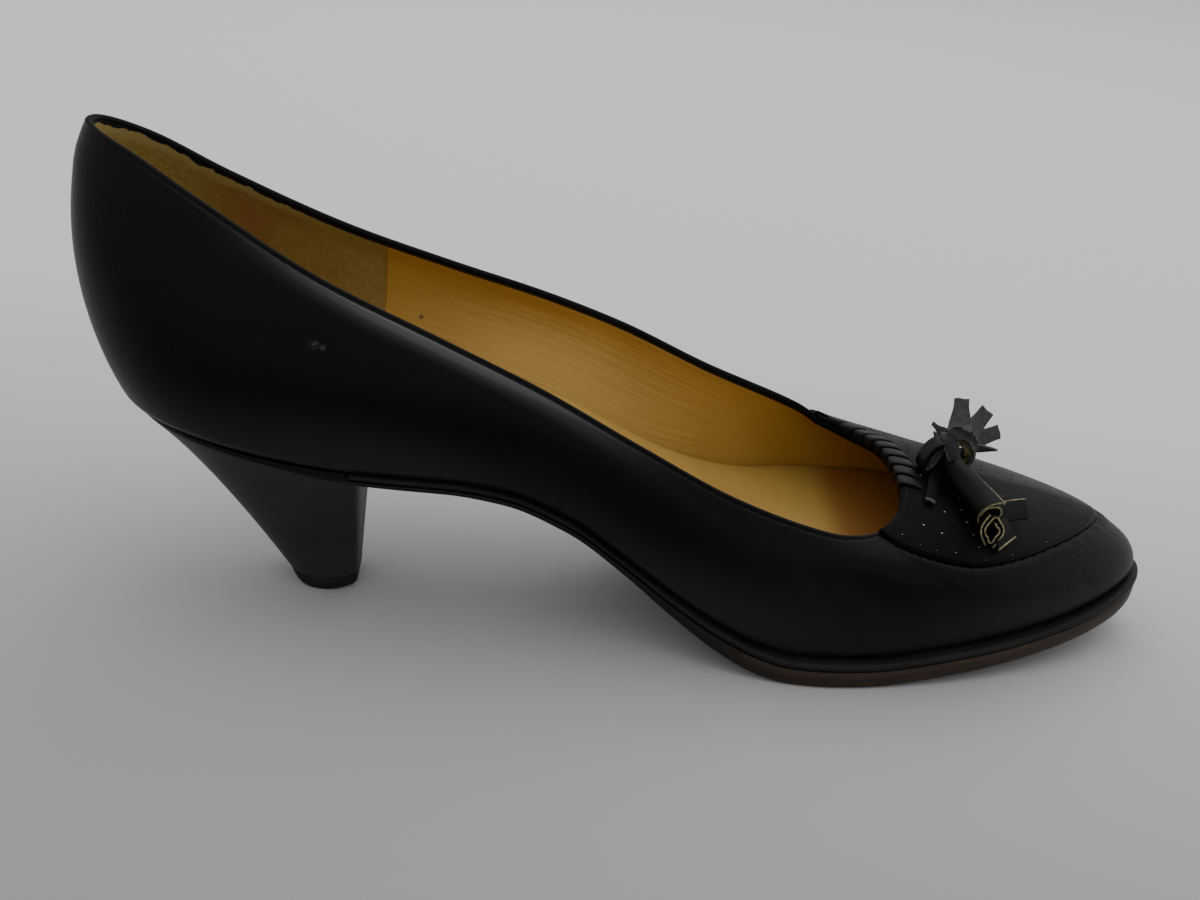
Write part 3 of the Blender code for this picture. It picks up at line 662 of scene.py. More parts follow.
# the vamp swells along the apron's seam, sinks under the apron and is gathered
ridge = mound(np.maximum(below, 0), upperShape["ridge"]) * ease((below + 0.1) / 0.5)
relief += flank * (ridge - upperShape["underApron"] * ease(0.1 - below))
relief += flank * mound(below, upperShape["gather"]) * np.sin(way * upperShape["gathers"])
outerSkin = outer + normals * relief[..., None]

innerShares = np.linspace(0, 1, upperShape["innerRows"])[:, None] ** upperShape["innerCrowding"]
innerDepths = upperShape["rim"] + (whole - upperShape["rim"]) * innerShares
inner = alongRibs(curve, length, innerDepths)
inset = last["wall"] + rolled * ease(1 - innerDepths / upperShape["innerRoll"])
innerSkin = inner - wallNormals(inner) * inset[..., None]
half = normals[0] * last["wall"] / 2
rise = unit(outer[0] - outer[1]) * (upperShape["rim"] + 0.1)
arc = [outerSkin[0] - half + half * math.cos(turn) + rise * math.sin(turn)   # over the topline
       for turn in np.linspace(0, math.pi, upperShape["rimSteps"])[1:-1]]
skin = np.concatenate([outerSkin[::-1], arc, innerSkin])

roundRun = running(np.vstack([outer[0], outer[0][:1]])) * mm
down = np.concatenate([depths[::-1], np.zeros((len(arc), len(way))), innerDepths])
down = np.pad(down, ((0, 1), (0, 1)), mode="wrap") * mm
skinUv = np.dstack([np.repeat(roundRun[None], len(down), 0), down])
skinSlots = np.zeros((len(down) - 1, len(way)), int)
firstInner = len(depths) + len(arc)
skinSlots[firstInner - 1:firstInner + len(innerSkin) - 1] = 1   # lining
skinSlots[len(depths):firstInner + 1] = 2   # fold
upperPiece = bentGrid("upperLeather", skin, uv=skinUv, around=True, loop=True, slots=skinSlots)
finishPiece(upperPiece, [upperBlack, liningTan, foldBlack], "black_leather", "upper")

grooveDepth = upperShape["groove"][1]
stitchLine = alongRibs(curve, length, np.full((1, len(way)), grooveDepth))[0]
stitchOut = normals[3]   # the row of the wall nearest the groove
stitchLine = stitchLine - stitchOut * (rolled * rollIn(grooveDepth) + upperShape["stitchSink"])[:, None]
bare = np.where(flank < 0.5)[0]
# medial wing, round the back, lateral wing
order = np.r_[bare[bare > len(way) // 2], bare[bare <= len(way) // 2]]
stitchRow("toplineStitches", stitchLine[order], stitchOut[order], **upperShape["stitch"])

# sole and welt band, running a little into the heel's breast
soleShape = {
    "stops": 170, "across": 13, "start": 57.2, "weltRise": 0.25, "weltOver": 0.4,
    # inset of the edge and share of the way down, from the top edge to the bottom edge
    "sole": [(0.35, 0.0), (0.0, 0.08), (-0.05, 0.4), (0.05, 0.72), (0.4, 0.92), (1.1, 1.0)],
    "welt": [(0.5, 0.0), (0.0, 0.22), (-0.08, 0.5), (0.0, 0.8), (0.5, 1.0)],
}
soleLook = {
    "brown": ((0.018, 0.0108, 0.0056), (0.035, 0.021, 0.0108)), "blotch": (0.017, 0.0098, 0.0056),
    "waist": (0.004, 0.004, 0.004), "waistEnd": (126.0, 156.0), "waistWander": 12.0,
}


def layerGrid(levels, layer, baseZ, rise=0.0, over=0.0):   # closed sections of a layer from breast to toe
    share = np.linspace(0, 1, soleShape["across"])[:, None]

    def lifted(points, down):
        thick = column(layers, points[..., 0], layer)
        height = baseZ(points[..., 0]) + thick + rise - down * (thick + over)
        return np.concatenate([points, height[..., None]], -1)

    built = []
    for inset, down in levels:
        def grow(x):
            return column(edges, x, layer) - inset
        near, far = bothWalks(featherY, soleShape["start"], last["tip"], soleShape["stops"], grow)
        near[-1] = far[-1] = (near[-1] + far[-1]) / 2
        built.append((near[:, None], far[:, None], down))
    near, far, down = built[0]
    sections = [lifted(near + (far - near) * share, down)]
    sections += [lifted(far, down) for near, far, down in built[1:-1]]
    near, far, down = built[-1]
    sections.append(lifted(far + (near - far) * share, down))
    sections += [lifted(near, down) for near, far, down in built[-2:0:-1]]
    return np.concatenate(sections, 1)


def brownSole():   # brown leather, blackened in the waist
    made = Finish("soleBrown", Specular_IOR_Level=0.25)
    place = made.place()
    fibre = made.noise(made.vector("MULTIPLY", place, (160.0, 160.0, 1500.0)), 1.0, 4.0, 0.6)
    blotch = made.noise(place, 60.0, 3.0)
    brown = made.mix(fibre.between(0.3, 0.75), *soleLook["brown"])
    brown = made.mix(blotch.between(0.5, 0.75) * 0.5, brown, soleLook["blotch"])
    waist = (made.lastMm() + (blotch - 0.5) * soleLook["waistWander"]).fade(*soleLook["waistEnd"])
    made.set("Base Color", made.mix(waist, brown, soleLook["waist"]))
    made.set("Roughness", 0.46 + fibre * 0.12)
    made.bump((fibre, 0.05), (blotch, 0.15))
    return made


solePiece = bentGrid("soleLeather", layerGrid(soleShape["sole"], outsole, treadZ), around=True)
closeEnds(solePiece)
finishPiece(solePiece, [brownSole()], "sole_leather", "outsole")

weltGrid = layerGrid(soleShape["welt"], midsole, midsoleZ, soleShape["weltRise"], soleShape["weltOver"])
weltPiece = bentGrid("weltBand", weltGrid, around=True)
closeEnds(weltPiece)
weltBlack = blackLeather("weltBlack", 0.45, 0.02, 0.012)
finishPiece(weltPiece, [weltBlack], "black_edge", "midsole")

# insole sock: padded, dished, with a rolled edge against the lining
sockTable = np.array([   # along, height over the feather line, flare of the edge
    (0.04, 2.6, 0.8), (0.12, 3.4, 1.0), (0.30, 6.5, 1.8), (0.50, 11.5, 2.7), (0.62, 12.5, 2.8),
    (0.72, 12.5, 2.1), (0.78, 11.3, 1.5), (0.88, 8.0, 0.5), (1.00, 3.5, -1.5)])
sockShape = {
    "stops": 130, "across": 25, "roll": 0.5, "dish": 1.5, "ballDish": (3.0, 165, 45),
    "heelWear": (0.5, 40, 22), "ballWear": (0.8, 168, 16),
    "edge": [(0.12, 0.12), (0.0, 0.5)],   # inset, drop
    "footInset": 0.4, "footRise": 0.15,
}
sockLook = {
    "tan": ((0.395, 0.238, 0.053), (0.44, 0.27, 0.063)), "uneven": (0.32, 0.186, 0.036),
    # painted shadow cast by the vamp on the sock, and where its edge lies
    "paintedVampShadow": (0.24, 0.09, 0.015), "vampShadowFrom": (165.0, 173.0),
}


def sockRing(inset, flared=1):   # both edges of the sock, meeting at back and toe
    def grow(x):
        return column(sockTable, x, 2) * flared - (last["wall"] + 2 * last["gap"]) - inset
    near, far = bothWalks(featherY, last["counterBack"], last["tip"], sockShape["stops"], grow)
    for end in (0, -1):
        near[end] = far[end] = (near[end] + far[end]) / 2
    return near, far


def sockTop(x):
    return featherZ(x) + column(sockTable, x, 1)


def edgeRow(line, height):
    return np.column_stack([line, height])[:, None]


def tanSock():
    made = Finish("sockTan", Specular_IOR_Level=0.35)
    pores, uneven, broad = leatherGrain(made, made.place(), 1200.0)
    tan = made.mix(broad.between(0.3, 0.7), *sockLook["tan"])
    tan = made.mix(uneven.between(0.5, 0.8) * 0.3, tan, sockLook["uneven"])
    # painted shadow: the sock is painted darker from the edge of the vamp's shadow on towards the toe
    tan = made.mix(made.lastMm().between(*sockLook["vampShadowFrom"]) * 0.8, tan, sockLook["paintedVampShadow"])
    made.set("Base Color", tan)
    made.set("Roughness", 0.46 + broad * 0.15)
    made.bump((pores, 0.03), (uneven, 0.08), (broad, 0.2))
    return made


near, far = sockRing(sockShape["roll"])
share = np.linspace(0, 1, sockShape["across"])
lines = near[:, None] + (far - near)[:, None] * share[:, None]
along = lines[..., 0]
hollow = (sockShape["dish"] + mound(along, sockShape["ballDish"])) * np.sin(math.pi * share)
hollow += mound(along, sockShape["heelWear"]) * hump(share, 0.5, 0.3)
hollow += mound(along, sockShape["ballWear"]) * hump(share, 0.45, 0.25)
sockFace = np.dstack([lines, sockTop(along) - hollow])
sockEdges = []
for inset, drop in sockShape["edge"]:
    sockEdges.append([edgeRow(line, sockTop(line[:, 0]) - drop) for line in sockRing(inset)])
sockFoot = sockRing(sockShape["footInset"], flared=0)
sockEdges.append([edgeRow(line, featherZ(line[:, 0]) + sockShape["footRise"]) for line in sockFoot])
nearEdges, farEdges = zip(*sockEdges)
sockGrid = np.concatenate([*nearEdges[::-1], sockFace, *farEdges], 1)
sockPiece = bentGrid("insoleSock", sockGrid, around=True)
finishPiece(sockPiece, [tanSock()], "tan_leather", "insole")

# heel: leather-covered cone and its top piece
heelShape = {
    "breast": 59.0, "liftHeight": 3.0, "liftFront": 58.5, "liftHalf": 9.5, "liftWidest": 0.55,
    "liftRound": (2.3, 2.3), "narrowing": 0.4, "taper": 1.5, "sweep": 0.8,
    "points": 40, "frontPoints": 14, "corner": 3, "levels": 30,
    "seatTuck": 1.6, "seatEase": (1.4, 0.016), "footTuck": 0.8, "footEase": (0.1, 0.012), "footGap": 0.1,
    "ink": 1.7, "breastInk": 1.6, "breastFrom": (30.0, 58.0),
    "lift": [   # height, swell
        (3.0, -0.08), (2.9, -0.02), (1.6, -0.03), (0.9, -0.15), (0.4, -0.4), (0.12, -0.8), (0.0, -1.3)],
}


def liftY(x, side):
    back, front = last["liftBack"], heelShape["liftFront"]
    middle = back + heelShape["liftWidest"] * (front - back)
    drawnIn = 1 - heelShape["narrowing"] * np.clip((x - middle) / (front - middle), 0, 1) ** 2
    half = heelShape["liftHalf"] * quarter((middle - x) / (middle - back), heelShape["liftRound"])
    return side * half * drawnIn


def roundedBack(plan, back, front):   # round the back from one front corner to the other, corners eased
    near, far = bothWalks(plan, back, front, heelShape["points"])
    line = np.vstack([near[::-1], far[1:]])
    ring = np.vstack([line, np.linspace(far[-1], near[-1], heelShape["frontPoints"])[1:-1]])
    corners = [0, 1, len(line) - 2, len(line) - 1, len(line), len(line) + 1, -1, -2]
    for again in range(heelShape["corner"]):
        soft = (np.roll(ring, 1, 0) + ring * 2 + np.roll(ring, -1, 0)) / 4
        ring[corners] = soft[corners]
    return ring


seatPlan = roundedBack(featherY, last["counterBack"], heelShape["breast"])
footPlan = roundedBack(liftY, last["liftBack"], heelShape["liftFront"])
seatTop = featherZ(np.clip(seatPlan[:, 0], last["counterBack"], heelShape["breast"])) - last["gap"]
seatRing = np.column_stack([seatPlan, seatTop])
footTop = heelShape["liftHeight"] + heelShape["footGap"]
footRing = np.column_stack([footPlan, np.full(len(footPlan), footTop)])


def heelRing(share, swell):
    ring = seatRing + (footRing - seatRing) * share
    ring[:, :2] = seatPlan + (footPlan - seatPlan) * share ** heelShape["sweep"]
    ring[:, :2] += unit(ring[:, :2] - ring[:, :2].mean(0)) * swell
    return ring


def easedIn(share, size):   # drawn in close to an end of the cone
    return size[0] * math.exp(-share / size[1])


heelShares = np.r_[0.002, 0.006, 0.012, 0.02, 0.035, np.linspace(0.06, 0.95, heelShape["levels"]),
                   0.975, 0.992, 1.0]
rings = [heelRing(0.0, -heelShape["seatTuck"])]
for share in heelShares:
    drawnIn = easedIn(share, heelShape["seatEase"]) + easedIn(1 - share, heelShape["footEase"])
    rings.append(heelRing(share, -drawnIn))
rings = np.array([*rings, heelRing(1.0, -heelShape["footTuck"])])
# along the shoe, down from the seat
ringUv = np.dstack([rings[..., 0], np.linalg.norm(rings - rings[0], axis=2)])
ringUv = np.concatenate([ringUv, ringUv[:, :1]], 1) * mm
heelPiece = bentGrid("heelCover", rings, uv=ringUv, around=True)
closeEnds(heelPiece)


def inkedTop(made):   # black edge ink under the seat, deeper by the breast
    reach = heelShape["ink"] + made.uvMm(0).between(*heelShape["breastFrom"]) * heelShape["breastInk"]
    return (made.uvMm(1) - reach).fade(-0.25, 0.25)


heelBlack = blackLeather("heelBlack", 0.48, 0.0, 0.02, 0.16, ink=inkedTop)
finishPiece(heelPiece, [heelBlack], "black_leather", "heel")

away = unit(footPlan - footPlan.mean(0))
rear = (heelShape["liftFront"] - footPlan[:, 0]) / (heelShape["liftFront"] - last["liftBack"])
taper = np.column_stack([heelShape["taper"] * rear ** 2, np.zeros(len(footPlan))])
liftRings = []
for level, swell in heelShape["lift"]:
    plan = footPlan + taper * (1 - level / heelShape["liftHeight"]) + away * swell
    liftRings.append(np.column_stack([plan, np.full(len(plan), level)]))
topPiece = bentGrid("topPiece", np.array(liftRings), around=True)
closeEnds(topPiece)
liftBlack = Finish("liftBlack", Specular_IOR_Level=0.15)
worn = liftBlack.noise(liftBlack.place(), 300.0, 4.0, 0.6)
rubber = liftBlack.mix(worn.between(0.5, 0.8), (0.011, 0.011, 0.011), (0.02, 0.02, 0.019))
liftBlack.set("Base Color", rubber)
liftBlack.set("Roughness", 0.5 + worn * 0.2)
liftBlack.bump((worn, 0.08))
finishPiece(topPiece, [liftBlack], "lift_rubber", "top_lift")

# apron: a punched plug sewn over the vamp
apronShape = {
    "rear": 30, "toe": 400, "columns": 96, "rows": 24, "thick": 1.0, "edge": 0.9, "topGap": 0.3,
    "lift": 0.05, "underLift": 0.03, "underStep": 5,
    "holeRows": 9, "holePitch": 4.0, "rowPitch": 5.0, "firstRow": 2.3,
    "holeMargin": 4.6, "holeReach": 1.7, "hole": 0.55, "holeRim": 0.06, "deep": 0.14,
    "wingEnd": 187.0, "wingY": -8.0, "punched": [   # the near wing has holes of its own
        (171.3, -26.5, 33.2), (174.9, -28.2, 32.0), (178.6, -28.7, 31.2), (183.0, -28.2, 30.6),
        (176.9, -22.6, 33.7), (180.7, -23.9, 32.8), (180.7, -13.7, 35.7), (182.9, -17.3, 34.6)],
    "seamOff": 2.3, "seamLift": 0.42, "stitch": {"pitch": 2.4, "thread": 0.11, "long": 1.5},
}
nearRibs, nearWay = sideRibs(lateral, apronShape["rear"], apronShape["toe"])
farRibs, farWay = sideRibs(medial, apronShape["rear"], apronShape["toe"])
nearPick, farPick = nearWay >= last["apronStart"][lateral], farWay >= last["apronStart"][medial]
plugRibs = np.concatenate([nearRibs[nearPick], farRibs[farPick][-2::-1]])
plugWay = np.r_[nearWay[nearPick], farWay[farPick][-2::-1]]
plugSide = np.r_[np.full(nearPick.sum(), lateral), np.full(farPick.sum() - 1, medial)]
plugCurve, plugLength = ribCurves(plugRibs)
plugSeam = apronDepth(plugWay, plugSide, plugLength)
gone = running(alongRibs(plugCurve, plugLength, plugSeam[None])[0])
even = np.interp(np.linspace(0, gone[-1], apronShape["columns"]), gone, np.arange(len(gone)))
columns = np.unique(np.round(even).astype(int))   # ribs at an even pitch along the seam
plugWay, plugSeam, plugSide = plugWay[columns], plugSeam[columns], plugSide[columns]
plugCurve, plugLength = plugCurve[:, columns], plugLength[:, columns]
print("apron columns", len(columns), "seam", round(gone[-1], 1))


def plugSurface(depths, lift):   # apron points at depths below the topline, lifted off the vamp
    points = alongRibs(plugCurve, plugLength, depths)
    out = outward(points)
    out = np.where(out[..., 2:] < 0, -out, out)
    return points + out * np.asarray(lift)[..., None], out


def plugRow(depth, lift):   # one line across the apron, and its normals
    depth = depth * np.ones(len(plugWay))
    points, out = plugSurface(np.stack([depth - 0.4, depth, depth + 0.4]), np.zeros((3, len(plugWay))))
    return points[1] + out[1] * lift, out[1]


shares = np.r_[0.0, np.linspace(0.02, 0.98, apronShape["rows"]), 1.0]
plugDepths = apronShape["topGap"] + np.maximum(plugSeam - apronShape["topGap"], 0.02) * shares[:, None]
plugSlope = np.gradient(plugSeam) / np.linalg.norm(np.gradient(plugCurve[0], axis=0), axis=1)
toSeam = (plugSeam - plugDepths) / slant(plugSlope)
inward = np.clip(np.minimum(toSeam, plugDepths + 0.5), 0, None)
rounding = np.sqrt(np.clip(1 - (1 - np.clip(inward / apronShape["edge"], 0, 1)) ** 2, 0, 1))
top = plugSurface(plugDepths, apronShape["lift"] + apronShape["thick"] * rounding)[0]
under = plugSurface(plugDepths, np.full(plugDepths.shape, apronShape["underLift"]))[0]
apronPiece = bentGrid("apronLeather", np.concatenate([top, under[::-apronShape["underStep"]]]), loop=True)
closeEnds(apronPiece, 180)

holeSpots = list(apronShape["punched"])
for row in range(apronShape["holeRows"]):
    depth = apronShape["firstRow"] + row * apronShape["rowPitch"]
    fits = np.where(plugSeam - depth > apronShape["holeMargin"])[0]
    if len(fits) < 4:
        break
    spots = evenly(plugRow(plugSeam - depth, 1.1)[0][fits], apronShape["holePitch"])[0]
    if row % 2:   # every other row is staggered
        spots = (spots[:-1] + spots[1:]) / 2
    holeSpots += list(spots[(spots[:, 0] > apronShape["wingEnd"]) | (spots[:, 1] > apronShape["wingY"])])
holeSpots = np.array(holeSpots) * mm + lastAt
mesh = apronPiece.data
tree = BVHTree.FromObject(apronPiece, bpy.context.evaluated_depsgraph_get())
where = np.array([v.co for v in mesh.vertices])
facing = np.array([v.normal.z for v in mesh.vertices])
chosen = []
for spot in holeSpots:   # the nearest vertex of the upper face moves to the hole's middle
    gap = np.linalg.norm(where - spot, axis=1) + (facing < 0.2)
    nearest = int(np.argmin(gap))
    if gap[nearest] < apronShape["holeReach"] * mm and nearest not in chosen:
        chosen.append(nearest)
        mesh.vertices[nearest].co = tree.find_nearest(Vector(spot))[0]
        where[nearest] = mesh.vertices[nearest].co
picked = np.zeros(len(mesh.vertices), bool)
picked[chosen] = True
editMode(apronPiece)
bpy.ops.mesh.select_mode(type="VERT")
bpy.ops.mesh.select_all(action="DESELECT")
objectMode()
mesh.vertices.foreach_set("select", picked)
editMode(apronPiece)
bpy.ops.mesh.bevel(offset=apronShape["hole"] * mm, affect="VERTICES", segments=1)
objectMode()
middles = np.array([p.center for p in mesh.polygons])
pits = np.zeros(len(middles), bool)
pits[[int(np.argmin(np.linalg.norm(middles - spot, axis=1))) for spot in where[chosen]]] = True
mesh.polygons.foreach_set("select", pits)
print("pinholes", int(pits.sum()), "of", len(chosen))
editMode(apronPiece)
bpy.ops.mesh.select_mode(type="FACE")
bpy.ops.mesh.inset(thickness=apronShape["holeRim"] * mm, use_individual=True)
bpy.ops.mesh.extrude_faces_move(TRANSFORM_OT_shrink_fatten={"value": -apronShape["deep"] * mm})
bpy.ops.mesh.select_mode(type="VERT")
objectMode()
mesh.polygons.foreach_set("material_index", np.array([p.select for p in mesh.polygons], int))
applyModifier(apronPiece, "SUBSURF", levels=2, render_levels=2)


def polishedToe(made):   # the near wing is dull, the toe catches the light
    return made.lastMm().between(184.0, 212.0) * 0.12


apronBlack = blackLeather("apronBlack", 0.45, 0.0, 0.002, 0.035, polish=polishedToe)
holePale = Finish("holePale", Roughness=0.8)   # pale in the near wing, mostly dark elsewhere
nearWing = holePale.lastMm(1).fade(-10.0, -7.0) * holePale.lastMm().fade(186.0, 189.0)
speck = holePale.noise(holePale.place(), 240.0, 2.0).between(0.45, 0.6)
pale = holePale.mix(speck * 0.3, (0.02, 0.019, 0.016), (0.62, 0.58, 0.46))
holePale.set("Base Color", holePale.mix(nearWing, pale, (0.5, 0.46, 0.36)))
finishPiece(apronPiece, [apronBlack, holePale], "black_leather", "apron")

seamLine, seamOut = plugRow(plugSeam + apronShape["seamOff"], apronShape["seamLift"])
stitchRow("seamStitches", seamLine[3:-3], seamOut[3:-3], **apronShape["stitch"])

# lacing whipped over a roll along the throat's edge
laceShape = {
    "depth": 2.0, "from": 0.88, "pitch": 4.6, "half": 2.45, "high": 1.15, "sink": 0.2, "lean": 0.8,
    "width": 4.3, "thick": 0.55, "turns": (-1.15, math.pi + 0.1, 16),
    "section": [   # across and lift, in halves of the width and the thickness
        (-1, -0.4), (-0.95, 0.7), (-0.8, 1.2), (-0.3, 1.1), (0.3, 0.8), (0.8, 0.5), (0.96, 0.1), (1, -0.6),
        (0.5, -0.9), (-0.5, -0.9)],
    "rollHalf": 2.3, "rollHigh": 1.05, "rollEnd": 8, "rollAside": 2.2, "rollSink": 0.5,
}
edgeLine, edgeOut = plugRow(laceShape["depth"], laceShape["sink"])
laced = np.where((plugSide == medial) | (plugWay >= laceShape["from"]))[0][:-3]
line, share = (values[1:] for values in evenly(edgeLine[laced], laceShape["pitch"]))
laceRun = running(edgeLine[laced])
laceUp = unit(readAt(share, laceRun / laceRun[-1], edgeOut[laced]))
laceAlong = tangents(line)
laceAcross = np.cross(laceUp, laceAlong)   # towards the foot
laceSize = (0.55 + 0.45 * ease(share / 0.08) * ease((1 - share) / 0.2))[:, None]


def flattened(value, power):   # a sine or cosine with squarer shoulders
    return math.copysign(abs(value) ** power, value)


strands = []
for turn in np.linspace(*laceShape["turns"]):
    lean = (0.45 - turn / math.pi) * 2 * laceShape["lean"]
    aside = laceAcross * laceSize * flattened(math.cos(turn), 0.9)
    above = laceUp * laceSize * flattened(math.sin(turn), 0.5)
    ring = []
    for across, lift in laceShape["section"]:
        off = lift * laceShape["thick"] / 2
        ring.append(line + laceAlong * (lean + across * laceShape["width"] / 2)
                    + aside * (laceShape["half"] + off) + above * (laceShape["high"] + off))
    strands.append(np.stack(ring, 1))
strands = np.stack(strands, 1)
for end in (0, -1):   # the ends are drawn to points
    strands[:, end] = strands[:, end].mean(1, keepdims=True)
lacePiece = lofts("throatLacing", strands)
laceBlack = blackLeather("laceBlack", 0.48, 0.0, 0.004, 0.12)
finishPiece(lacePiece, [laceBlack], "black_leather", "throat_lacing")

rollAt = np.arange(2, len(plugWay) - 2)
rollLine, rollUp = edgeLine[rollAt], edgeOut[rollAt]
rollAcross = np.cross(rollUp, tangents(rollLine))
wingSize = 0.3 + 0.7 * ease((plugWay - laceShape["from"] + 0.02) / 0.03)   # thin in the lateral wing
toEnd = np.minimum(rollAt - rollAt[0], rollAt[-1] - rollAt)
rollSize = np.where(plugSide == medial, 1.0, wingSize)[rollAt, None]
rollSize = rollSize * (0.4 + 0.6 * ease(toEnd / laceShape["rollEnd"]))[:, None]
rollMiddle = rollLine + rollAcross * laceShape["rollAside"] * (1 - rollSize)
rollMiddle = rollMiddle - rollUp * (laceShape["sink"] + laceShape["rollSink"] * (1 - rollSize))
rollWide = rollAcross * laceShape["rollHalf"] * rollSize
rollTall = rollUp * laceShape["rollHigh"] * rollSize ** 0.3
rollRings = [rollMiddle + rollWide * math.cos(turn) + rollTall * math.sin(turn) for turn in fullTurn(12)]
rollPiece = bentGrid("throatRoll", np.stack(rollRings, 1), around=True)
closeEnds(rollPiece)
finishPiece(rollPiece, [foldBlack], "black_leather")

# bow: knot and two rolled, slit tassels
sheetShape = {"thick": 0.55, "arch": 0.35, "turnSteps": 34, "bevel": 0.1, "bevelAngle": 50, "crease": 40}
lateralTassel = {
    "sleeve": {"line": ((186.6, -2.6, 40.0), (191.8, -19.8, 35.6)), "radii": (2.2, 3.1), "turns": 1.35,
               "tight": 0.7, "roll": -40, "flare": 0.9, "pale": True},
    "scroll": {"line": ((192.1, -16.7, 33.2), (191.6, -23.8, 34.0)), "radii": (2.6, 4.3), "turns": 1.9,
               "tight": 2.7, "roll": 30, "square": 0.3, "squash": 0.6, "thick": 0.42},
    "strips": [   # root corners, end corners, pale at the end
        ((194.6, -14.2, 36.0), (194.4, -18.6, 33.6), (201.7, -12.6, 37.0), (201.6, -16.8, 34.0), False),
        ((196.0, -18.2, 34.6), (191.8, -20.6, 33.4), (197.3, -22.4, 32.2), (192.9, -26.0, 30.6), True)],
}
medialTassel = {
    "sleeve": {"line": ((190.4, 2.4, 39.9), (192.4, 8.6, 40.3)), "radii": (3.9, 4.1), "turns": 1.2,
               "tight": 0.6, "roll": 200},
    "scroll": {"radii": (2.9, 2.9), "turns": 2.4, "tight": 2.3, "roll": -30}, "scrollInset": (0.7, 0.5),
    "petalRadius": 3.6, "petalRoot": 2.0, "petalSteps": 12, "petalHollow": 0.28,
    "petals": [   # angle round from the top, splay, length, widths at root and end, twist
        (-9, 56, 6.4, 5.4, 3.4, 0), (32, 55, 6.0, 4.4, 3.6, 8), (70, 57, 5.8, 4.2, 3.4, -6),
        (101, 58, 5.0, 2.8, 2.8, 55), (-68, 60, 3.2, 3.4, 1.0, 0), (-20, 22, 2.4, 3.0, 3.0, 0),
        (145, 20, 4.0, 3.2, 3.0, 0), (200, 12, 4.0, 3.4, 3.2, 0), (252, 25, 4.2, 3.0, 3.0, 0)],
}
tasselBlack = blackLeather("tasselBlack", 0.5, 0.0, 0.004, 0.1)
knotBlack = blackLeather("knotBlack", 0.44, 0.02, 0.003, 0.08)
fleshGrey = rawLeather("fleshGrey", 0.85, 0.2, (1400.0, 4.0, 0.7), (0.3, 0.7),
                       (0.036, 0.036, 0.038), (0.075, 0.075, 0.078), 0.1)
cutEdge = rawLeather("cutEdge", 0.75, 0.3, (1200.0, 4.0, 0.7), (0.35, 0.65),
                     (0.10, 0.09, 0.038), (0.30, 0.275, 0.145), 0.08)
greyEdge = rawLeather("greyEdge", 0.8, 0.2, (1200.0, 4.0, 0.7), (0.35, 0.65),
                      (0.03, 0.03, 0.031), (0.14, 0.14, 0.135))
oliveEdge = rawLeather("oliveEdge", 0.6, 0.3, (900.0, 3.0, 0.6), (0.35, 0.65),
                       (0.045, 0.04, 0.012), (0.15, 0.13, 0.055))


def sheetPiece(name, points, skin, edge, slots=None, thick=sheetShape["thick"], rim=1):
    piece = bentGrid(name, points, slots=slots)   # a leather sheet with its own thickness and cut edges
    piece.data.materials.append(skin.material)
    piece.data.materials.append(edge.material)
    applyModifier(piece, "SOLIDIFY", thickness=thick * mm, offset=0, use_even_offset=True,
                  material_offset_rim=rim)
    return piece


def roundLine(start, end):   # a line with two directions square to it
    start, end = np.array(start), np.array(end)
    reach = np.linalg.norm(end - start)
    axis = (end - start) / reach
    aside = unit(np.cross(axis, (0, 0, 1)))
    return start, axis, reach, aside, np.cross(aside, axis)


def rolledSheet(name, skin, edge, line, radii, turns, tight, roll, flare=0.0, square=0.0, squash=1.0,
                pale=False, thick=sheetShape["thick"]):   # a sheet rolled up round a line
    start, axis, reach, aside, above = roundLine(*line)
    gone = np.r_[0, 0.03, np.linspace(0.06, turns, int(sheetShape["turnSteps"] * turns))]
    turn = math.radians(roll) + 2 * math.pi * gone
    radial = np.outer(np.sin(turn), aside) * squash + np.outer(np.cos(turn), above)
    rows = []
    for share in np.r_[np.linspace(0, 0.97, 11), 1.0]:
        size = radii[0] + (radii[1] - radii[0]) * share - tight * gone / turns * (0.55 + 0.45 * share)
        size += flare * share * hump(gone, 0, 0.13) + square * np.cos(4 * turn) * share
        size += 0.1 * np.sin(turn * 3 + share * 5)
        rows.append(start + axis * reach * share + radial * size[:, None])
    slots = np.zeros((len(rows) - 1, len(turn) - 1), int)
    slots[:, 0] = pale
    return sheetPiece(name, np.array(rows), skin, edge, slots, thick)


def flatStrip(name, rootA, rootB, endA, endB, rawEnd, skin, edge, thick=sheetShape["thick"]):
    rootA, rootB, endA, endB = (np.array(corner) for corner in (rootA, rootB, endA, endB))
    up = np.cross(endA - rootA, rootB - rootA)
    up = unit(up) * np.sign(up[2]) * sheetShape["arch"]
    wide = np.linalg.norm(rootB - rootA)
    k = np.r_[0, min(0.3 / wide, 0.08), np.linspace(0.15, 1, 8)][:, None]   # share of the way across
    rows = []
    for along in np.r_[np.linspace(0, 0.93, 9), 1]:
        a, b = rootA + (endA - rootA) * along, rootB + (endB - rootB) * along
        rows.append(a * (1 - k) + b * k + up * (math.sin(math.pi * along) + 0.5 * np.sin(math.pi * k)))
    slots = np.zeros((len(rows) - 1, len(k) - 1), int)
    if rawEnd:
        slots[-1] = 1
    else:
        slots[:, 0] = 1   # raw along the upper edge
    return sheetPiece(name, np.array(rows), skin, edge, slots, thick, rim=0)


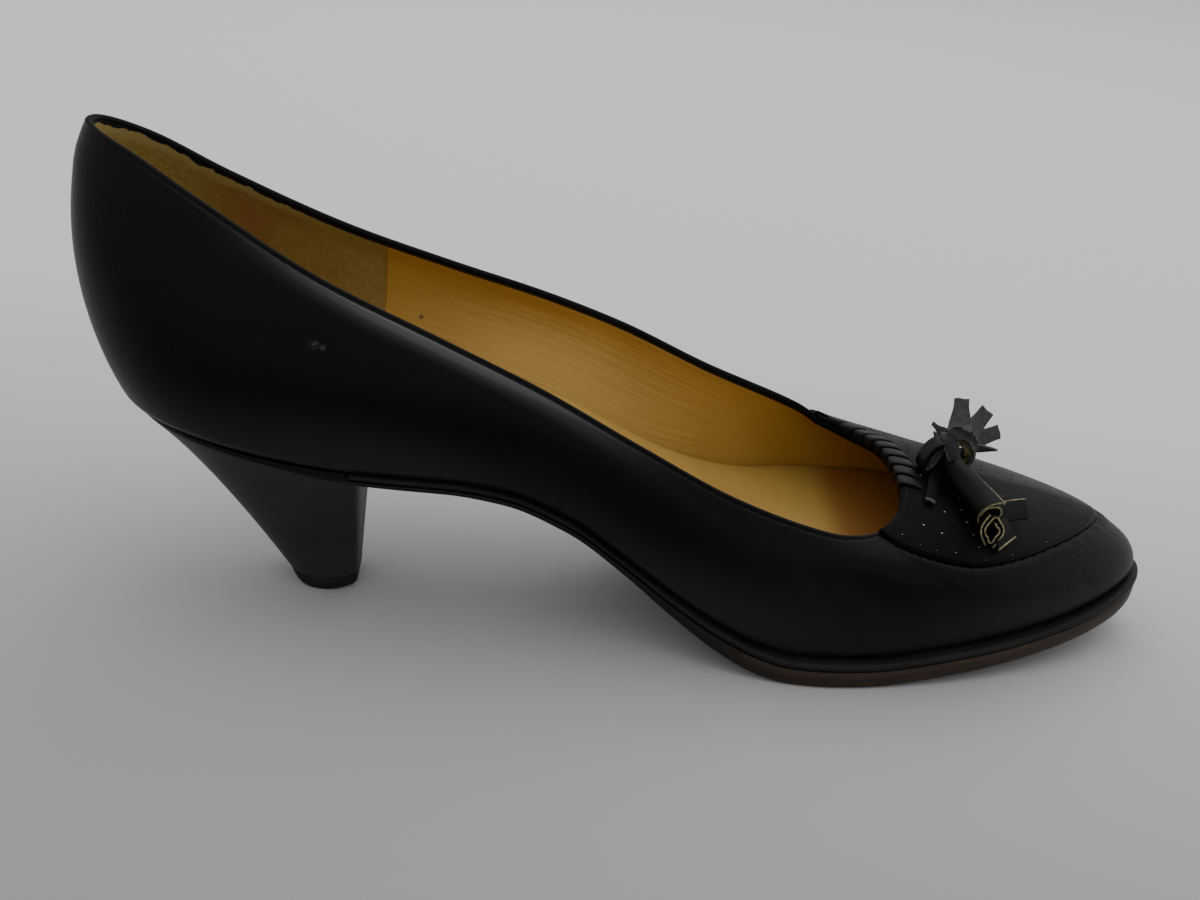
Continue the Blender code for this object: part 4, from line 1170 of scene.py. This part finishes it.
def petal(name, angle, splay, long, rootWide, endWide, twist, skin, edge):   # bent out of the medial sleeve
    start, axis, reach, aside, above = roundLine(*medialTassel["sleeve"]["line"])
    angle, splay, twist = (math.radians(v) for v in (angle, splay, twist))
    out = aside * math.sin(angle) + above * math.cos(angle)
    side = aside * math.cos(angle) - above * math.sin(angle)
    root, steps = medialTassel["petalRoot"], medialTassel["petalSteps"]
    at = start + axis * (reach - root) + out * medialTassel["petalRadius"]
    k = np.linspace(0, 1, 8)[:, None]
    rows = []
    for along in np.linspace(0, 1, steps + 1):
        swing = splay * ease(along * 2.0)
        lean = axis * math.cos(swing) + out * math.sin(swing)
        if along:
            at = at + lean * (long + root) / steps
        across = side * math.cos(twist * along) + np.cross(lean, side) * math.sin(twist * along)
        hollow = np.cross(side, lean) * medialTassel["petalHollow"] * (1 - along)
        wide = rootWide + (endWide - rootWide) * ease(along * 1.4 - 0.2)
        rows.append(at + across * wide * (k - 0.5) - hollow * (2 * k - 1) ** 2
                    + lean * 0.1 * np.sin(7 * k + angle * 3) * along ** 6)
    return sheetPiece(name, np.array(rows), skin, edge)


def joinSheets(parts, *nodes):
    activate(parts[0])
    for part in parts:
        part.select_set(True)
    bpy.ops.object.join()
    applyModifier(parts[0], "BEVEL", width=sheetShape["bevel"] * mm, segments=2, limit_method="ANGLE",
                  angle_limit=math.radians(sheetShape["bevelAngle"]))
    bpy.ops.object.shade_smooth_by_angle(angle=math.radians(sheetShape["crease"]))
    finishPiece(parts[0], [], "black_leather", *nodes)


lateralParts = [rolledSheet("tasselLateral", tasselBlack, cutEdge, **lateralTassel["sleeve"]),
                rolledSheet("innerScroll", tasselBlack, cutEdge, **lateralTassel["scroll"])]
lateralParts += [flatStrip("lateralStrip", *corners, tasselBlack, cutEdge)
                 for corners in lateralTassel["strips"]]
joinSheets(lateralParts, "tassel_lateral")

start, axis, reach = roundLine(*medialTassel["sleeve"]["line"])[:3]
rootInset, endInset = medialTassel["scrollInset"]
inside = (start + axis * rootInset, start + axis * (reach - endInset))
medialParts = [rolledSheet("tasselMedial", tasselBlack, greyEdge, **medialTassel["sleeve"]),
               rolledSheet("medialScroll", knotBlack, oliveEdge, line=inside, **medialTassel["scroll"])]
medialParts += [petal("medialPetal", *numbers, fleshGrey, greyEdge) for numbers in medialTassel["petals"]]
joinSheets(medialParts, "tassel_medial")

knotShape = {
    "centre": (183.3, -0.6, 40.5), "half": (2.1, 3.6), "lean": 0.42, "from": -2.6, "to": 2.2, "thick": 0.9,
    "bridge": [(189.4, 4.6, 41.4), (188.0, 3.0, 43.9), (186.6, 0.2, 44.2), (186.6, -2.6, 43.3),
               (187.2, -5.4, 41.6)],
    "bridgeWide": 3.6, "bridgeUp": (0.25, 0.0, 1.0), "bridgeArch": 0.5, "endThick": 0.4,
    "laceEnd": ((182.4, -4.5, 37.4), (184.7, -4.8, 37.2), (178.6, -15.6, 36.3), (180.5, -16.4, 35.9)),
}
turn = fullTurn(40)
loopRows = []
for y in np.linspace(knotShape["from"], knotShape["to"], 7):
    high = knotShape["half"][1] * np.sin(turn)
    wide = knotShape["half"][0] * np.cos(turn) * (1 + 0.03 * y)
    ring = np.column_stack([wide + knotShape["lean"] * high, y + 0.1 * high, high])
    loopRows.append(ring + knotShape["centre"])
loopPiece = bentGrid("bowKnot", np.array(loopRows), around=True)
for finish in (knotBlack, fleshGrey):
    loopPiece.data.materials.append(finish.material)
applyModifier(loopPiece, "SOLIDIFY", thickness=knotShape["thick"] * mm, offset=-1, use_even_offset=True,
              material_offset=1)
bridge = np.array(knotShape["bridge"])
stations = np.linspace(0, 1, len(bridge))
middle = np.column_stack([smooth(np.linspace(0, 1, 16), stations, bridge[:, k]) for k in range(3)])
across = unit(np.cross(tangents(middle), knotShape["bridgeUp"])) * knotShape["bridgeWide"]
arch = np.array((0, 0, knotShape["bridgeArch"]))
bridgeRows = [middle + across * (k - 0.5) - arch * (2 * k - 1) ** 2 for k in np.linspace(0, 1, 8)]
bridgeGrid = np.stack(bridgeRows, 1)
bridgePiece = sheetPiece("knotBridge", bridgeGrid, knotBlack, greyEdge, thick=knotShape["thick"])
# the loose end of the thong
endPiece = flatStrip("laceEnd", *knotShape["laceEnd"], True, foldBlack, fleshGrey, knotShape["endThick"])
joinSheets([loopPiece, bridgePiece, endPiece], "bow_knot")

# floor, light and camera
bpy.ops.object.select_all(action="DESELECT")
bpy.ops.mesh.primitive_plane_add(size=8, location=(0, 0, 0))
floor = bpy.context.object
floor.name = "floor"
floorPale = Finish("floorPale", Roughness=0.9, Specular_IOR_Level=0.2)
x, y = floorPale.split(floorPale.place())[:2]
# painted shade: the floor is painted darker towards the front and the left, for light that falls off away
# from the lamps
pale = floorPale.mix((y + x * 0.15).between(-0.2, 0.22), (0.31, 0.313, 0.318), (0.68, 0.684, 0.692))
floorPale.set("Base Color", pale)
floor.data.materials.append(floorPale.material)

world = bpy.data.worlds.new("softDay")
bpy.context.scene.world = world
world.use_nodes = True
world.node_tree.nodes["Background"].inputs["Color"].default_value = (1.0, 1.0, 1.0, 1)
world.node_tree.nodes["Background"].inputs["Strength"].default_value = 0.82
lamps = {   # place, aim, size, watts, colour
    "skyLight": ((0.8, 0.3, 2.9), (0.0, 0.0, 0.0), 4.0, 30.0, (1.0, 1.0, 1.0)),
    "backLight": ((0.1, 0.95, 1.1), (0.0, 0.0, 0.0), 0.9, 2.5, (1.0, 1.0, 0.99)),
}
for name, (at, aim, size, watts, colour) in lamps.items():
    light = bpy.data.lights.new(name, "AREA")
    light.shape, light.size, light.energy, light.color = "DISK", size, watts, colour
    lamp = bpy.data.objects.new(name, light)
    bpy.context.scene.collection.objects.link(lamp)
    lamp.location = at
    lamp.rotation_euler = (Vector(aim) - Vector(at)).to_track_quat("-Z", "Y").to_euler()

view = {
    "target": (109.4, 0.0, 34.9), "azimuth": -6.0, "elevation": 24.0, "roll": 7.0, "distance": 308.0,
    "lens": 42.0, "sensor": 36.0, "clip": (0.01, 50.0),
}
azimuth, elevation, roll = (math.radians(view[k]) for k in ("azimuth", "elevation", "roll"))
level = Vector((math.cos(azimuth), math.sin(azimuth), 0))
back = Vector((math.sin(azimuth), -math.cos(azimuth), 0)) * math.cos(elevation)
back.z = math.sin(elevation)
upright = level.cross(-back)
right = level * math.cos(roll) + upright * math.sin(roll)
up = -level * math.sin(roll) + upright * math.cos(roll)
camera = bpy.data.objects.new("camera", bpy.data.cameras.new("camera"))
bpy.context.scene.collection.objects.link(camera)
camera.data.lens, camera.data.sensor_width = view["lens"], view["sensor"]
camera.data.clip_start, camera.data.clip_end = view["clip"]
stand = Vector(np.array(view["target"]) * mm + lastAt) + back * view["distance"] * mm
camera.matrix_world = Matrix.Translation(stand) @ Matrix((right, up, back)).transposed().to_4x4()
bpy.context.scene.camera = camera
